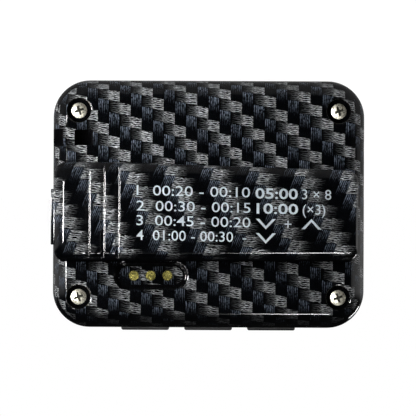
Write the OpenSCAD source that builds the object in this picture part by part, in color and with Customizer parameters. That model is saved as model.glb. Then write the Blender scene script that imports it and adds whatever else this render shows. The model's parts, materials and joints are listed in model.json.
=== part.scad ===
// Clip-on interval timer with a display in front and a belt clip behind.
// The case stands on its flat bottom edge, the display faces -Y and the buttons are on top.
// The origin is the centre of the bottom edge, and sizes are in millimetres.

/* [Case] */
// Width of the case
body_w = 64; // [62:0.5:80]
// Height of the case, without the buttons
body_h = 50.8; // [50:0.2:64]
// Depth from the front face to the flat back
body_d = 15; // [15:0.1:18]
// Corner radius seen from the front
corner_r = 7.6; // [7:0.1:9]
// Thickness of the side walls
side_wall = 1.6; // [1.5:0.05:1.8]
// Thickness of the front wall
front_wall = 2; // [1.9:0.05:2.4]
// Thickness of the back wall
back_wall = 1.6; // [1.5:0.05:1.8]
// Radius of the rounded rim behind
back_rim_r = 5; // [4.6:0.1:5.4]
// Distance from the side to the crease where the flat back begins
back_rim_inset = 2.9; // [2.6:0.05:3.2]
// Radius of the rounded rim in front
front_rim_r = 2.4; // [2:0.1:2.8]

/* [Seam] */
// Thickness of the rear cover's tongue
tongue_t = 0.7; // [0.6:0.05:0.8]
// Height of the tongue past the seam
tongue_h = 1.1; // [0.9:0.1:1.4]
// Height of the rubber seal
seal_h = 0.5; // [0.4:0.05:0.6]
// Wall between the button openings and the seal's groove
seam_wall = 0.42; // [0.3:0.02:0.6]

/* [Display] */
// Distance from each side of the case to the lens
lens_side = 6; // [5:0.1:7]
// Distance from the bottom edge to the lens
lens_foot = 7; // [6:0.1:8]
// Distance from the top edge to the lens
lens_head = 10.8; // [10.4:0.1:12]
// Thickness of the lens
lens_t = 1; // [0.8:0.1:1.1]
// Corner radius of the lens
lens_r = 3; // [2:0.5:4]
// Thickness of the adhesive frame
tape_t = 0.15; // [0.1:0.05:0.2]
// Distance from the lens's upper and lower edges to the glass
glass_inset = 3; // [2.6:0.1:4]
// How far the front wall laps over each end of the glass
window_lap_x = 1.1; // [0.8:0.1:2]
// How far the front wall laps over the glass's upper and lower edges
window_lap_z = 2.1; // [1.6:0.1:3]
// Thickness of each glass
glass_t = 0.65; // [0.5:0.05:0.7]
// Thickness of each polariser film
film_t = 0.2; // [0.15:0.05:0.25]
// Thickness of the liquid crystal cell
cell_t = 0.1; // [0.08:0.01:0.12]
// Thickness of the light panel
light_t = 2.1; // [1.8:0.1:2.2]
// Width of each rubber connector
zebra_t = 1.1; // [0.9:0.1:1.1]
// Thickness of the display frame's walls
frame_wall = 1.4; // [1:0.1:1.6]
// Height of a figure
digit_h = 13; // [11:0.5:14]
// Width of a figure
digit_w = 6.6; // [5.5:0.1:7]
// Stroke of a figure
stroke = 1.4; // [1:0.1:1.6]

/* [Buttons] */
// Width of a button
button_w = 9.9; // [9:0.1:10.5]
// Depth of a button
button_d = 4.2; // [4:0.1:4.4]
// Distance between neighbouring buttons
button_pitch = 13.05; // [12.9:0.05:14]
// Height of a button above the case
button_rise = 0.75; // [0.6:0.05:1]
// Radius of a button's top edges
button_r = 0.45; // [0.3:0.05:0.6]
// Travel of a button
button_travel = 0.4; // [0.3:0.05:0.5]
// Thickness of the flange that keeps a button in
flange_t = 0.9; // [0.7:0.05:1]
// Clearance round a button
button_gap = 0.08; // [0.06:0.01:0.1]

/* [Switches] */
// Width of a switch
switch_w = 4.5; // [4.2:0.1:5]
// Height of a switch along the push
switch_h = 3; // [2.8:0.1:3.2]
// Depth of a switch off the board
switch_d = 3; // [2.8:0.1:3.2]
// Width of the plunger
plunger_w = 1.9; // [1.6:0.1:2.2]
// Depth of the plunger
plunger_d = 1.1; // [1:0.1:1.3]
// Height of the plunger outside its switch
plunger_out = 0.95; // [0.85:0.05:1.1]

/* [Board] */
// Distance between the circuit board and the screw bosses
board_gap = 0.6; // [0.5:0.1:1]
// Distance from each side of the circuit board to the display frame
frame_edge = 0.4; // [0.3:0.1:1]
// Thickness of the circuit board
board_t = 1; // [0.8:0.1:1.2]
// Distance from the case's bottom edge to the board
board_foot = 3.4; // [3.2:0.1:3.6]
// Width of the main chip
chip_w = 7; // [6:0.5:8]
// Thickness of the main chip
chip_t = 1.2; // [1:0.1:1.4]
// Number of legs on each side of the main chip
chip_legs = 8; // [6:1:10]
// Diameter of the crystal can
crystal_d = 1.9; // [1.5:0.1:2]
// Length of the crystal can
crystal_len = 6; // [5:0.5:7]
// Distance of each board screw from the board's side edge
board_screw_inset = 2.5; // [2.4:0.1:2.6]
// Diameter of a board screw's head
board_head_d = 2.6; // [2.2:0.1:2.8]
// Height of a board screw's head
board_head_h = 0.7; // [0.6:0.05:0.8]
// Diameter of a board screw's shank
board_shank_d = 1.3; // [1.2:0.05:1.4]

/* [Case screws] */
// Distance of a case screw from the side
screw_inset_x = 5.4; // [5.3:0.05:5.6]
// Distance of a case screw from the bottom and top edges
screw_inset_z = 6.3; // [6.1:0.05:6.5]
// Diameter of a screw head
head_d = 3.15; // [3:0.05:3.4]
// Height of a screw head
head_h = 0.9; // [0.8:0.05:1]
// Depth of the head's top below the flat back
head_sunk = 1; // [0.8:0.05:1.1]
// Diameter of the counterbore round the head
counterbore_d = 5; // [4.6:0.1:5.2]
// Thickness of the cover's floor under a screw head
head_floor_t = 2.8; // [2.4:0.1:3]
// Diameter of a screw's shank
shank_d = 1.9; // [1.7:0.05:2]
// Length of a screw's shank
shank_len = 7; // [6:0.5:8]
// Length of the cross recess's slots
cross_len = 1.95; // [1.7:0.05:2.1]
// Width of the cross recess's slots
cross_w = 0.5; // [0.4:0.05:0.6]
// Depth of the cross recess
cross_depth = 0.6; // [0.5:0.05:0.7]
// Diameter of a screw boss
boss_d = 5.2; // [5:0.1:5.4]

/* [Lanyard opening] */
// Width of the opening in the back
eye_w = 3; // [2.8:0.1:3.4]
// Height of the opening in the back
eye_h = 3.2; // [3:0.1:3.6]
// Distance from the bottom edge to the opening
eye_z = 10.3; // [10:0.1:11]
// Distance from the side to the bar
bar_inset = 2; // [1.8:0.1:2.2]
// Width of the bar that a cord goes round
bar_w = 2.5; // [2.2:0.1:2.8]
// Thickness of the bar
bar_t = 1.9; // [1.7:0.1:2]
// Depth of the opening's floor below the flat back
eye_depth = 4.3; // [4.1:0.1:4.5]
// Length of the slope beside the opening
eye_slope = 0.8; // [0.6:0.1:1]
// Thickness of the walls round the opening inside
eye_wall = 1.3; // [1.1:0.1:1.4]

/* [Charging recess] */
// Distance from the case's side to the recess's centre
port_inset = 20.2; // [20:0.1:22]
// Distance from the top edge to the recess's centre
port_drop = 10.7; // [10.5:0.1:11.2]
// Length of the recess
port_len = 15.2; // [14.6:0.1:15.8]
// Width of the recess
port_w = 5.7; // [5.4:0.1:6]
// Depth of the recess
port_depth = 1.2; // [1:0.1:1.3]
// Width of the sloped lip round the recess
port_lip = 0.35; // [0.2:0.05:0.5]
// Distance between neighbouring contacts
contact_pitch = 3.43; // [3.2:0.05:3.6]
// Diameter of a contact
contact_d = 2; // [1.8:0.1:2.2]
// Height of a contact above the recess's floor
contact_rise = 0.15; // [0.05:0.05:0.3]
// Thickness of the recess's floor and walls
port_wall = 1.2; // [1:0.1:1.3]
// Diameter of a magnet
magnet_d = 4; // [3.6:0.1:4]
// Thickness of a magnet
magnet_t = 1.9; // [1.5:0.1:2]

/* [Clip] */
// Distance from the case's side to the clip's press end
press_inset = 0.7; // [0.7:0.1:1.5]
// Distance from the case's side to the clip's mouth end
mouth_inset = 1.7; // [1.4:0.1:2.2]
// Width of the clip at the press end
clip_w = 20.2; // [19.4:0.1:21]
// Distance from the top edge to the clip's centre line
clip_drop = 23.7; // [23.2:0.1:24.2]
// Distance from the flat back to the clip's outer face
clip_rise = 7.2; // [7.15:0.05:7.5]
// Thickness of the clip's plate
clip_t = 2.2; // [2:0.05:2.3]
// Depth of the rim that runs round under the plate
clip_skirt = 0.6; // [0.5:0.05:0.65]
// Thickness of the rim that runs round under the plate
skirt_t = 1.3; // [1.1:0.1:1.6]
// How much the lower long edge draws in towards the mouth
taper_low = 1.5; // [1:0.1:2]
// How much the upper long edge draws in towards the mouth
taper_high = 0.3; // [0:0.1:0.6]
// Width of the rounded edge along the clip
edge_w = 1.75; // [1.5:0.05:2]
// Depth of the rounded edge along the clip
edge_drop = 1.7; // [1.5:0.05:1.8]
// Width of the rounded edge at the mouth end
mouth_edge = 0.5; // [0.4:0.05:0.8]
// Size of the cut corners of the clip's flat face at the press end
cut_corner = 1.6; // [1.2:0.1:2]
// Radius of the clip's outer corners
clip_corner_r = 2.4; // [2.1:0.1:2.8]
// Length of the finger catch at the press end
catch_len = 0.65; // [0.4:0.05:0.8]
// Width of the finger catch
catch_w = 11.3; // [10:0.1:12]
// Distance from the press end to the first thumb groove
groove_start = 7; // [6.5:0.1:7.5]
// Distance between neighbouring thumb grooves
groove_pitch = 3; // [2.6:0.1:3.2]
// Number of thumb grooves
groove_count = 3; // [2:1:3]
// Width of a thumb groove
groove_w = 0.85; // [0.7:0.05:1]
// Depth of a thumb groove
groove_depth = 0.5; // [0.4:0.05:0.6]
// Length of the tooth that holds the belt
tooth_w = 12; // [10:0.5:13]
// Distance from the mouth end to the tooth
tooth_inset = 2.6; // [2.4:0.1:3.4]
// Gap between the tooth and the flat back
tooth_gap = 0.2; // [0.15:0.05:0.3]
// Angle to which the clip opens
clip_open = 12; // [8:1:12]

/* [Clip hinge] */
// Distance from the press end to the hinge pin
hinge_from_end = 18.3; // [18:0.1:19]
// Height of the pin above the flat back
pin_rise = 2.8; // [2.75:0.05:2.85]
// Diameter of the pin
pin_d = 1.8; // [1.6:0.05:1.9]
// Clearance between the pin and the ears
pin_gap = 0.06; // [0.04:0.01:0.08]
// Radius of the ears on the rear cover
ear_r = 1.9; // [1.8:0.05:1.95]
// Thickness of each ear
ear_t = 2.1; // [1.8:0.1:2.3]
// Distance from the clip's long edges to its lugs
lug_inset = 0.9; // [0.7:0.05:1.1]
// Radius of the clip's lugs
lug_r = 2.3; // [2.1:0.05:2.4]
// Thickness of each lug
lug_t = 2.6; // [2.2:0.1:2.8]
// Gap between each lug and its ear
lug_gap = 0.2; // [0.15:0.05:0.3]

/* [Clip spring] */
// Diameter of the spring wire
wire_d = 0.7; // [0.6:0.05:0.75]
// Mean diameter of the spring's coil
coil_d = 3.2; // [3.1:0.05:3.25]
// Number of whole turns in the coil
coil_turns = 5; // [4:1:5]
// Distance from the coil to each ear
coil_gap = 0.65; // [0.5:0.05:0.8]
// Length of the spring's legs
leg_len = 9; // [7:0.5:10]

/* [Battery] */
// Distance from the left side of the case to the battery
battery_left = 26; // [25.5:0.5:30]
// Distance from the right side of the case to the battery
battery_right = 10; // [9.5:0.5:14]
// Distance from the top edge to the battery
battery_head = 20.3; // [19.8:0.1:24]
// Distance between the battery and the main chip
battery_gap = 1; // [0.8:0.1:1.6]
// Distance from the bottom edge to the battery
battery_z = 10.5; // [10.2:0.1:11]
// Thickness of the foam tape
foam_t = 0.3; // [0.2:0.05:0.4]
// Thickness of the protection board
guard_t = 0.8; // [0.6:0.1:1]

/* [Vibration motor] */
// Distance between the motor's boot and the board
motor_room = 0.5; // [0.4:0.1:0.9]
// Length of the motor
motor_len = 8; // [7:0.5:8.5]
// Distance from the case's side to the motor's lead end
motor_inset = 12; // [11.6:0.1:12.4]
// Height of the motor's axis above the bottom edge
motor_z = 25.5; // [24:0.5:28]
// How much further the eccentric weight reaches than the motor's can
weight_over = 0.1; // [0:0.05:0.2]
// Length of the eccentric weight
weight_len = 3.4; // [3:0.1:3.6]
// Diameter of the motor's shaft
shaft_d = 0.8; // [0.7:0.05:1]

/* [Sounder] */
// Diameter of the brass disc
disc_d = 14; // [12:0.5:15]
// Thickness of the brass disc
disc_t = 0.25; // [0.2:0.05:0.3]
// Diameter of the ceramic layer
ceramic_d = 10; // [8:0.5:11]
// Thickness of the ceramic layer
ceramic_t = 0.2; // [0.15:0.05:0.25]
// Distance from the case's side to the disc's centre
disc_inset = 18; // [17.6:0.1:18.4]
// Height of the disc's centre above the bottom edge
disc_z = 10.5; // [10:0.1:11]

/* [Leads] */
// Diameter of a lead
lead_d = 0.8; // [0.6:0.05:0.9]

/* [Hidden] */

// Smoothness of round faces, and of the round corners inside a hull
$fn = 72;
hull_fn = 32;
// A length by which a cut runs past the face that it opens
over = 1;

// Case planes, from front to back
half_w = body_w / 2;
front_y = -body_d / 2;
back_y = body_d / 2;
button_y = front_y + front_rim_r + button_d / 2;
seam_y = button_y + button_d / 2 + button_gap + seam_wall + seal_h + tongue_h;
front_in = front_y + front_wall;
back_in = back_y - back_wall;
inner_w = half_w - side_wall;
inner_top = body_h - side_wall;
rim_y = back_y - sqrt(pow(back_rim_r, 2) - pow(back_rim_r - back_rim_inset, 2));

// Display stack, from front to back
lens_sink = 0.1;
lens_gap = 0.1;
lens_w = body_w - 2 * lens_side;
lens_h = body_h - lens_foot - lens_head;
display_z = lens_foot + lens_h / 2;
glass_gap = 0.1;
board_w = body_w - 2 * (screw_inset_x + boss_d / 2 + board_gap);
glass_w = board_w - 2 * (frame_edge + frame_wall + glass_gap);
glass_h = lens_h - 2 * glass_inset;
window_w = glass_w - 2 * window_lap_x;
window_h = glass_h - 2 * window_lap_z;
pocket_y = front_y + lens_sink + lens_t + tape_t;
front_glass_y = front_in + film_t;
cell_y = front_glass_y + glass_t;
rear_glass_y = cell_y + cell_t;
rear_film_y = rear_glass_y + glass_t;
light_y = rear_film_y + film_t;
board_y = light_y + light_t;
board_back = board_y + board_t;
ledge_h = 1.25;
rear_glass_h = glass_h - 2 * ledge_h;
segment_t = cell_t / 2;
film_side = 0.3;
film_end = 0.1;
film_w = glass_w - 2 * film_side;
film_h = rear_glass_h - 2 * film_end;
cell_wall = 1;

// Buttons and switches
flange_top = inner_top - 0.1;
flange_z = flange_top - flange_t;
flange_side = 0.7;
flange_lap = 0.3;
plunger_gap = 0.05;
stem_w = 4;
stem_d = 2.4;
stem_drop = 1.35;
board_top = flange_z - stem_drop - plunger_gap - plunger_out;
board_h = board_top - board_foot;
switch_z = board_top - switch_h;
plunger_in = 1.2;
button_places = [-button_pitch, 0, button_pitch];

// Case screws
screw_places = [for (x = [-1, 1], z = [screw_inset_z, body_h - screw_inset_z])
    [x * (half_w - screw_inset_x), z]];
head_top = back_y - head_sunk;
counterbore_y = head_top - head_h;
boss_wall = 1.1;
cover_boss_d = counterbore_d + 2 * boss_wall;
boss_seat_y = counterbore_y - head_floor_t;
thread_gap = 0.04;
hole_gap = 0.15;

// Board screws
board_screw_foot = 2.5;
board_screw_over_glass = 4.2;
board_screw_places = [for (x = [-1, 1],
    z = [board_foot + board_screw_foot, display_z + glass_h / 2 + board_screw_over_glass])
    [x * (board_w / 2 - board_screw_inset), z]];
post_d = 3.4;
board_shank_len = 3.2;
slot_w = 0.35;

// Parts on the board: across from the case's centre, up from its foot or down from its top
chip_x = 8;
chip_up = 16;
crystal_x = -6;
crystal_down = 13.45;
charger_over_motor = 1.8;
charger_size = [3, 0.9, 3];
passive_x = -16;
passive_down = 10.95;
passive_size = [1.6, 0.6, 0.8];
passive_step = [2.6, 2];

// Lanyard opening
bar_x = -half_w + bar_inset;
eye_x = bar_x + bar_w;
eye_floor = back_y - eye_depth;
tunnel_margin = 0.1;

// Charging recess
port_z = body_h - port_drop;
port_cx = -half_w + port_inset;
port_floor = back_y - port_depth;
port_back = port_floor - port_wall;
contact_places = [for (i = [-1:1]) port_cx + i * contact_pitch];
contact_stem_d = 1.1;
contact_board_t = 0.6;
shoulder_t = 0.9;
contact_board_y = port_back - shoulder_t;
contact_board_w = 11;
contact_board_h = 3.6;
magnet_gap = 0.15;
magnet_offset = port_len / 2 + port_wall + magnet_gap + magnet_d / 2;

// Clip, in plan: x0 is the press end and x1 the mouth end
clip_x0 = -half_w + press_inset;
clip_x1 = half_w - mouth_inset;
clip_z = body_h - clip_drop;
clip_top = back_y + clip_rise;
clip_under = clip_top - clip_t;
skirt_y = clip_under - clip_skirt;
edge_y = clip_top - edge_drop;
clip_low = clip_z - clip_w / 2;
clip_high = clip_z + clip_w / 2;
edge_max = 60;
edge_step = 15;
press_edge = edge_w + 0.25;
corner_shrink = 0.7;
groove_end = clip_x0 + groove_start + (groove_count - 1) * groove_pitch;
hinge_x = clip_x0 + hinge_from_end;
hinge_y = back_y + pin_rise;
lug_outer = clip_w / 2 - lug_inset;
lug_inner = lug_outer - lug_t;
ear_outer = lug_inner - lug_gap;
ear_inner = ear_outer - ear_t;
press_fit = 0.03;
pin_inset = 0.1;
tooth_x = clip_x1 - tooth_inset;
tooth_r = 0.8;
tooth_t = 2.6;

// Spring wire: 8 rings to a turn and 6 sides
ring_steps = 8;
wire_sides = 6;
coil_len = 2 * (ear_inner - coil_gap) - wire_d;
coil_pitch = coil_len / (coil_turns + 0.5);
leg_gap = 0.03;

// Battery and motor
battery_x = -half_w + battery_left;
battery_w = body_w - battery_left - battery_right;
battery_h = body_h - battery_z - battery_head;
battery_back = back_in - foam_t;
battery_y = board_back + chip_t + battery_gap;
battery_t = battery_back - battery_y;
battery_r = 0.8;
guard_w = 2.4;
guard_h = 12;
plug_size = [4.6, 3, 3.6];
plug_wall = 0.7;
plug_in = 2;
plug_up = 2.2;
plug_x = battery_x + battery_w - plug_size[0] - plug_in;
plug_z = battery_z + battery_h + plug_up;
boot_back = 0.7;
boot_side = 0.9;
boot_inset = 1;
motor_d = back_in - boot_back - boot_side - motor_room - board_back;
motor_y = back_in - boot_back - motor_d / 2;
boot_gap = 0.03;
motor_x0 = -half_w + motor_inset;
motor_x1 = motor_x0 + motor_len;
weight_r = motor_d / 2 + weight_over;
hub_wall = 0.5;
shaft_len = weight_len + 0.8;
weight_gap = 0.35;
seat_gap = 0.02;
disc_x = -half_w + disc_inset;

// Leads: sides and rings of the wire, and the radius of a bend
lead_sides = 8;
bend_steps = 3;
bend_r = 1.2;
buzzer_lead_apart = 3;
buzzer_lead_reach = 5;
motor_lead_reach = 1.6;
contact_lead_reach = 4.2;

// Draws a flat shape, given in X and Z, from one depth to another
module slab(y0, y1) {
    translate([0, y1, 0])
        rotate([90, 0, 0])
            linear_extrude(y1 - y0)
                children();
}

// Draws a flat shape, given in X and Y, from one height to another
module tall(z0, z1) {
    translate([0, 0, z0])
        linear_extrude(z1 - z0)
            children();
}

module block(x, y, z) {
    translate([x[0], y[0], z[0]])
        cube([x[1] - x[0], y[1] - y[0], z[1] - z[0]]);
}

// A round bar along Y at one place of the back view
module rod(place, d, y0, y1) {
    translate([place[0], y0, place[1]])
        rotate([-90, 0, 0])
            cylinder(d = d, h = y1 - y0);
}

module rounded_rect(x, z, r) {
    translate([x[0] + r, z[0]])
        square([x[1] - x[0] - 2 * r, z[1] - z[0]]);
    translate([x[0], z[0] + r])
        square([x[1] - x[0], z[1] - z[0] - 2 * r]);
    for (cx = [x[0] + r, x[1] - r], cz = [z[0] + r, z[1] - r])
        translate([cx, cz])
            circle(r);
}

module case_plan(inset) {
    rounded_rect([-half_w + inset, half_w - inset], [inset, body_h - inset], corner_r - inset);
}

// Section of the rounded rim, from the corner's axis outwards
module rim_section(inset, y0, y1, rim_r, centre_y) {
    reach = corner_r - rim_r;
    translate([0, y0])
        square([corner_r - inset, centre_y - y0]);
    translate([0, centre_y])
        square([reach, y1 - centre_y]);
    intersection() {
        translate([reach, centre_y])
            circle(rim_r - inset);
        translate([reach, centre_y])
            square([rim_r, y1 - centre_y]);
    }
}

// Solid with the case's outline whose rim is rounded towards +Y
module rimmed_solid(inset, y0, y1, rim_r, centre_y) {
    cx = half_w - corner_r;
    low = corner_r;
    high = body_h - corner_r;
    block([-cx, cx], [y0, y1], [low, high]);
    for (side = [0, 1])
        mirror([side, 0, 0]) {
            translate([cx, 0, 0])
                tall(low, high)
                    rim_section(inset, y0, y1, rim_r, centre_y);
            translate([cx, 0, high])
                rotate([-90, 0, 0])
                    rotate([0, 0, -90])
                        rotate_extrude(angle = 90)
                            rim_section(inset, y0, y1, rim_r, centre_y);
            translate([cx, 0, low])
                rotate([-90, 0, 0])
                    rotate_extrude(angle = 90)
                        rim_section(inset, y0, y1, rim_r, centre_y);
        }
    translate([-cx, 0, high])
        rotate([90, 0, 90])
            linear_extrude(2 * cx)
                mirror([1, -1, 0])
                    rim_section(inset, y0, y1, rim_r, centre_y);
    translate([-cx, 0, low])
        mirror([0, 0, 1])
            rotate([90, 0, 90])
                linear_extrude(2 * cx)
                    mirror([1, -1, 0])
                        rim_section(inset, y0, y1, rim_r, centre_y);
}

// Front half of the case
module front_shell() {
    color("#1b1d20")
        difference() {
            union() {
                difference() {
                    mirror([0, 1, 0])
                        rimmed_solid(0, -seam_y, -front_y, front_rim_r, -front_y - front_rim_r);
                    slab(front_in, seam_y + over)
                        case_plan(side_wall);
                    slab(seam_y - tongue_h - seal_h, seam_y + over)
                        case_plan(side_wall - tongue_t - seat_gap);
                }
                for (place = screw_places)
                    rod(place, boss_d, front_in - seat_gap, boss_seat_y);
                for (place = board_screw_places)
                    rod(place, post_d, front_in - seat_gap, board_y);
            }
            slab(front_y - over, pocket_y)
                rounded_rect(lens_x(lens_gap), lens_z(lens_gap), lens_r + lens_gap);
            block([-window_w / 2, window_w / 2], [pocket_y - over, front_in + over],
                [display_z - window_h / 2, display_z + window_h / 2]);
            for (x = button_places)
                button_opening(x);
            for (place = screw_places)
                rod(place, shank_d + 2 * thread_gap, counterbore_y - shank_len - 0.5, boss_seat_y + over);
            for (place = board_screw_places)
                rod(place, board_shank_d + 2 * thread_gap,
                    board_back - board_shank_len - 0.2, board_y + over);
        }
}

function lens_x(gap) = [-lens_w / 2 - gap, lens_w / 2 + gap];
function lens_z(gap) = [display_z - lens_h / 2 - gap, display_z + lens_h / 2 + gap];

module button_opening(x) {
    block([x - button_w / 2 - button_gap, x + button_w / 2 + button_gap],
        [button_y - button_d / 2 - button_gap, button_y + button_d / 2 + button_gap],
        [inner_top - over, body_h + over]);
}

// Rear half of the case
module rear_cover() {
    color("#1b1d20")
        difference() {
            union() {
                difference() {
                    rimmed_solid(0, seam_y, back_y, back_rim_r, rim_y);
                    rimmed_solid(side_wall, seam_y - over, back_in, back_rim_r, rim_y);
                }
                difference() {
                    slab(seam_y - tongue_h, seam_y)
                        case_plan(side_wall - tongue_t);
                    slab(seam_y - tongue_h - over, seam_y + over)
                        case_plan(side_wall);
                }
                intersection() {
                    rimmed_solid(0, boss_seat_y - over, back_y, back_rim_r, rim_y);
                    for (place = screw_places)
                        rod(place, cover_boss_d, boss_seat_y, back_y);
                }
                intersection() {
                    rimmed_solid(0, seam_y, back_y, back_rim_r, rim_y);
                    union() {
                        block([-half_w, eye_x + eye_w + eye_wall], [eye_floor - eye_wall, back_y],
                            [eye_z - eye_wall, eye_z + eye_h + eye_wall]);
                        slab(port_back, back_y)
                            stadium(port_len + 2 * port_wall, port_w + 2 * port_wall);
                    }
                }
                for (side = [-1, 1])
                    clip_ear(side);
            }
            for (place = screw_places) {
                rod(place, counterbore_d, counterbore_y, back_y + over);
                rod(place, shank_d + 2 * hole_gap, boss_seat_y - over, back_y);
            }
            lanyard_opening();
            charging_recess();
            for (x = contact_places)
                rod([x, port_z], contact_d + 2 * seat_gap, port_back - over, port_floor + over);
        }
}

// Outline with round ends, centred on the charging recess
module stadium(length, width) {
    straight = length - width;
    translate([port_cx - straight / 2, port_z - width / 2])
        square([straight, width]);
    for (side = [-1, 1])
        translate([port_cx + side * straight / 2, port_z])
            circle(d = width);
}

module charging_recess() {
    slab(port_floor, back_y + over)
        stadium(port_len - 2 * port_lip, port_w - 2 * port_lip);
    straight = port_len - port_w;
    lip_r0 = port_w / 2 - port_lip;
    for (side = [-1, 1])
        translate([port_cx + side * straight / 2, back_y - port_lip, port_z])
            rotate([-90, 0, 0])
                cylinder(r1 = lip_r0, r2 = port_w / 2 + port_lip, h = 2 * port_lip);
    translate([port_cx - straight / 2, back_y, port_z])
        rotate([90, 0, 90])
            linear_extrude(straight)
                polygon([[-port_lip, -lip_r0], [port_lip, -port_w / 2 - port_lip],
                    [port_lip, port_w / 2 + port_lip], [-port_lip, lip_r0]]);
}

// Hole behind a bar, open to the back and to the side
module lanyard_opening() {
    z = [eye_z, eye_z + eye_h];
    tunnel_z = [eye_z - tunnel_margin, eye_z + eye_h + tunnel_margin];
    block([eye_x, eye_x + eye_w], [eye_floor, back_y + over], z);
    block([-half_w - over, eye_x + tunnel_margin], [eye_floor, back_y - bar_t], tunnel_z);
    block([-half_w - over, bar_x], [eye_floor, back_y + over], tunnel_z);
    tall(z[0], z[1])
        polygon([[eye_x + eye_w - tunnel_margin, back_y - eye_slope - tunnel_margin],
            [eye_x + eye_w, back_y - eye_slope], [eye_x + eye_w + eye_slope, back_y],
            [eye_x + eye_w + eye_slope, back_y + over], [eye_x + eye_w - tunnel_margin, back_y + over]]);
    bar_sink = 0.25;
    block([bar_x - tunnel_margin, eye_x + tunnel_margin], [back_y - bar_sink, back_y + over], tunnel_z);
}

// One of the two ears that hold the clip's pin
module clip_ear(side) {
    z0 = side < 0 ? -ear_outer : ear_inner;
    foot = 3.4;
    difference() {
        tall(clip_z + z0, clip_z + z0 + ear_t) {
            translate([hinge_x, hinge_y])
                circle(ear_r);
            polygon([[hinge_x - foot, back_y - seat_gap], [hinge_x + foot, back_y - seat_gap],
                [hinge_x + ear_r, hinge_y], [hinge_x - ear_r, hinge_y]]);
        }
        translate([hinge_x, hinge_y, clip_z + z0 - over])
            cylinder(d = pin_d + 2 * pin_gap, h = ear_t + 2 * over);
    }
}

// Rubber ring at the foot of the tongue's groove
module case_seal() {
    color("#3a3d40")
        difference() {
            slab(seam_y - tongue_h - seal_h, seam_y - tongue_h)
                case_plan(side_wall - tongue_t);
            slab(seam_y - tongue_h - seal_h - over, seam_y)
                case_plan(side_wall);
        }
}

// Pan head screw with a cross recess
module case_screw(place) {
    dome_r = 3.6;
    first_turn = 20;
    difference() {
        union() {
            intersection() {
                rod(place, head_d, counterbore_y, head_top);
                translate([place[0], head_top - dome_r, place[1]])
                    sphere(dome_r);
            }
            rod(place, shank_d, counterbore_y - shank_len, counterbore_y);
        }
        for (turn = [first_turn, first_turn + 90])
            translate([place[0], head_top, place[1]])
                rotate([0, turn, 0])
                    cube([cross_len, 2 * cross_depth, cross_w], center = true);
    }
}

module case_screws() {
    color("#cfc8b4")
        for (place = screw_places)
            case_screw(place);
}

module display_lens() {
    color("#22262a", 0.5)
        slab(front_y + lens_sink, front_y + lens_sink + lens_t)
            rounded_rect(lens_x(0), lens_z(0), lens_r);
}

// Adhesive frame between the lens and its ledge
module lens_tape() {
    tape_margin = 0.5;
    color("#101010")
        difference() {
            slab(pocket_y - tape_t, pocket_y)
                rounded_rect(lens_x(-tape_margin), lens_z(-tape_margin), lens_r - tape_margin);
            block([-window_w / 2, window_w / 2], [pocket_y - tape_t - over, pocket_y + over],
                [display_z - window_h / 2, display_z + window_h / 2]);
        }
}

// Rectangle centred on the display, from one depth to another
module display_block(w, h, y0, y1) {
    block([-w / 2, w / 2], [y0, y1], [display_z - h / 2, display_z + h / 2]);
}

module lcd_polarisers() {
    color("#8b927f") {
        display_block(film_w, film_h, front_in, front_glass_y);
        display_block(film_w, film_h, rear_film_y, light_y);
    }
}

module lcd_glass() {
    color("#b9c2b4", 0.6) {
        display_block(glass_w, glass_h, front_glass_y, cell_y);
        display_block(glass_w, rear_glass_h, rear_glass_y, rear_film_y);
        difference() {
            display_block(glass_w, rear_glass_h, cell_y, rear_glass_y);
            display_block(glass_w - 2 * cell_wall, rear_glass_h - 2 * cell_wall,
                cell_y - over, rear_glass_y + over);
        }
    }
}

// Which of the seven strokes a figure shows: top, middle, bottom, then the four uprights
FIGURES = [
    [1, 0, 1, 1, 1, 1, 1], [0, 0, 0, 0, 1, 0, 1], [1, 1, 1, 0, 1, 1, 0], [1, 1, 1, 0, 1, 0, 1],
    [0, 1, 0, 1, 1, 0, 1], [1, 1, 1, 1, 0, 0, 1], [1, 1, 1, 1, 0, 1, 1], [1, 0, 0, 0, 1, 0, 1],
    [1, 1, 1, 1, 1, 1, 1], [1, 1, 1, 1, 1, 0, 1]
];

// A stroke with pointed ends, from its centre along X
module bar_stroke(length) {
    half = length / 2;
    s = stroke / 2;
    polygon([[-half, 0], [-half + s, s], [half - s, s], [half, 0], [half - s, -s], [-half + s, -s]]);
}

module figure(value) {
    on = FIGURES[value];
    gap = 0.25;
    wide = digit_w - stroke - gap;
    high = (digit_h - stroke) / 2;
    for (i = [0:2])
        if (on[i] == 1)
            translate([0, (1 - i) * high])
                bar_stroke(wide);
    for (i = [0:3])
        if (on[3 + i] == 1)
            translate([(i % 2 * 2 - 1) * (digit_w - stroke) / 2, (i < 2 ? 1 : -1) * high / 2])
                rotate(90)
                    bar_stroke(high - gap);
}

// Minutes and seconds, with a colon of two dots
module lcd_segments() {
    step = digit_w + 1.6;
    colon = 3;
    places = [-1.5 * step - colon / 2, -0.5 * step - colon / 2, 0.5 * step + colon / 2,
        1.5 * step + colon / 2];
    shown = [0, 0, 3, 0];
    color("#15180f")
        slab(cell_y, cell_y + segment_t)
            translate([0, display_z]) {
                for (i = [0:3])
                    translate([places[i], 0])
                        figure(shown[i]);
                for (side = [-1, 1])
                    translate([-stroke / 2, side * digit_h / 5 - stroke / 2])
                        square(stroke);
            }
}

module backlight_panel() {
    color("#e8ece6")
        display_block(film_w, film_h, light_y, board_y);
}

// Rubber connectors between the glass ledges and the board
module zebra_strips() {
    trim = 5;
    edge = glass_h / 2 - glass_gap;
    color("#d8a9a0")
        for (side = [-1, 1])
            block([-(glass_w - trim) / 2, (glass_w - trim) / 2], [cell_y, board_y],
                side > 0 ? [display_z + edge - zebra_t, display_z + edge]
                    : [display_z - edge, display_z - edge + zebra_t]);
}

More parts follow.
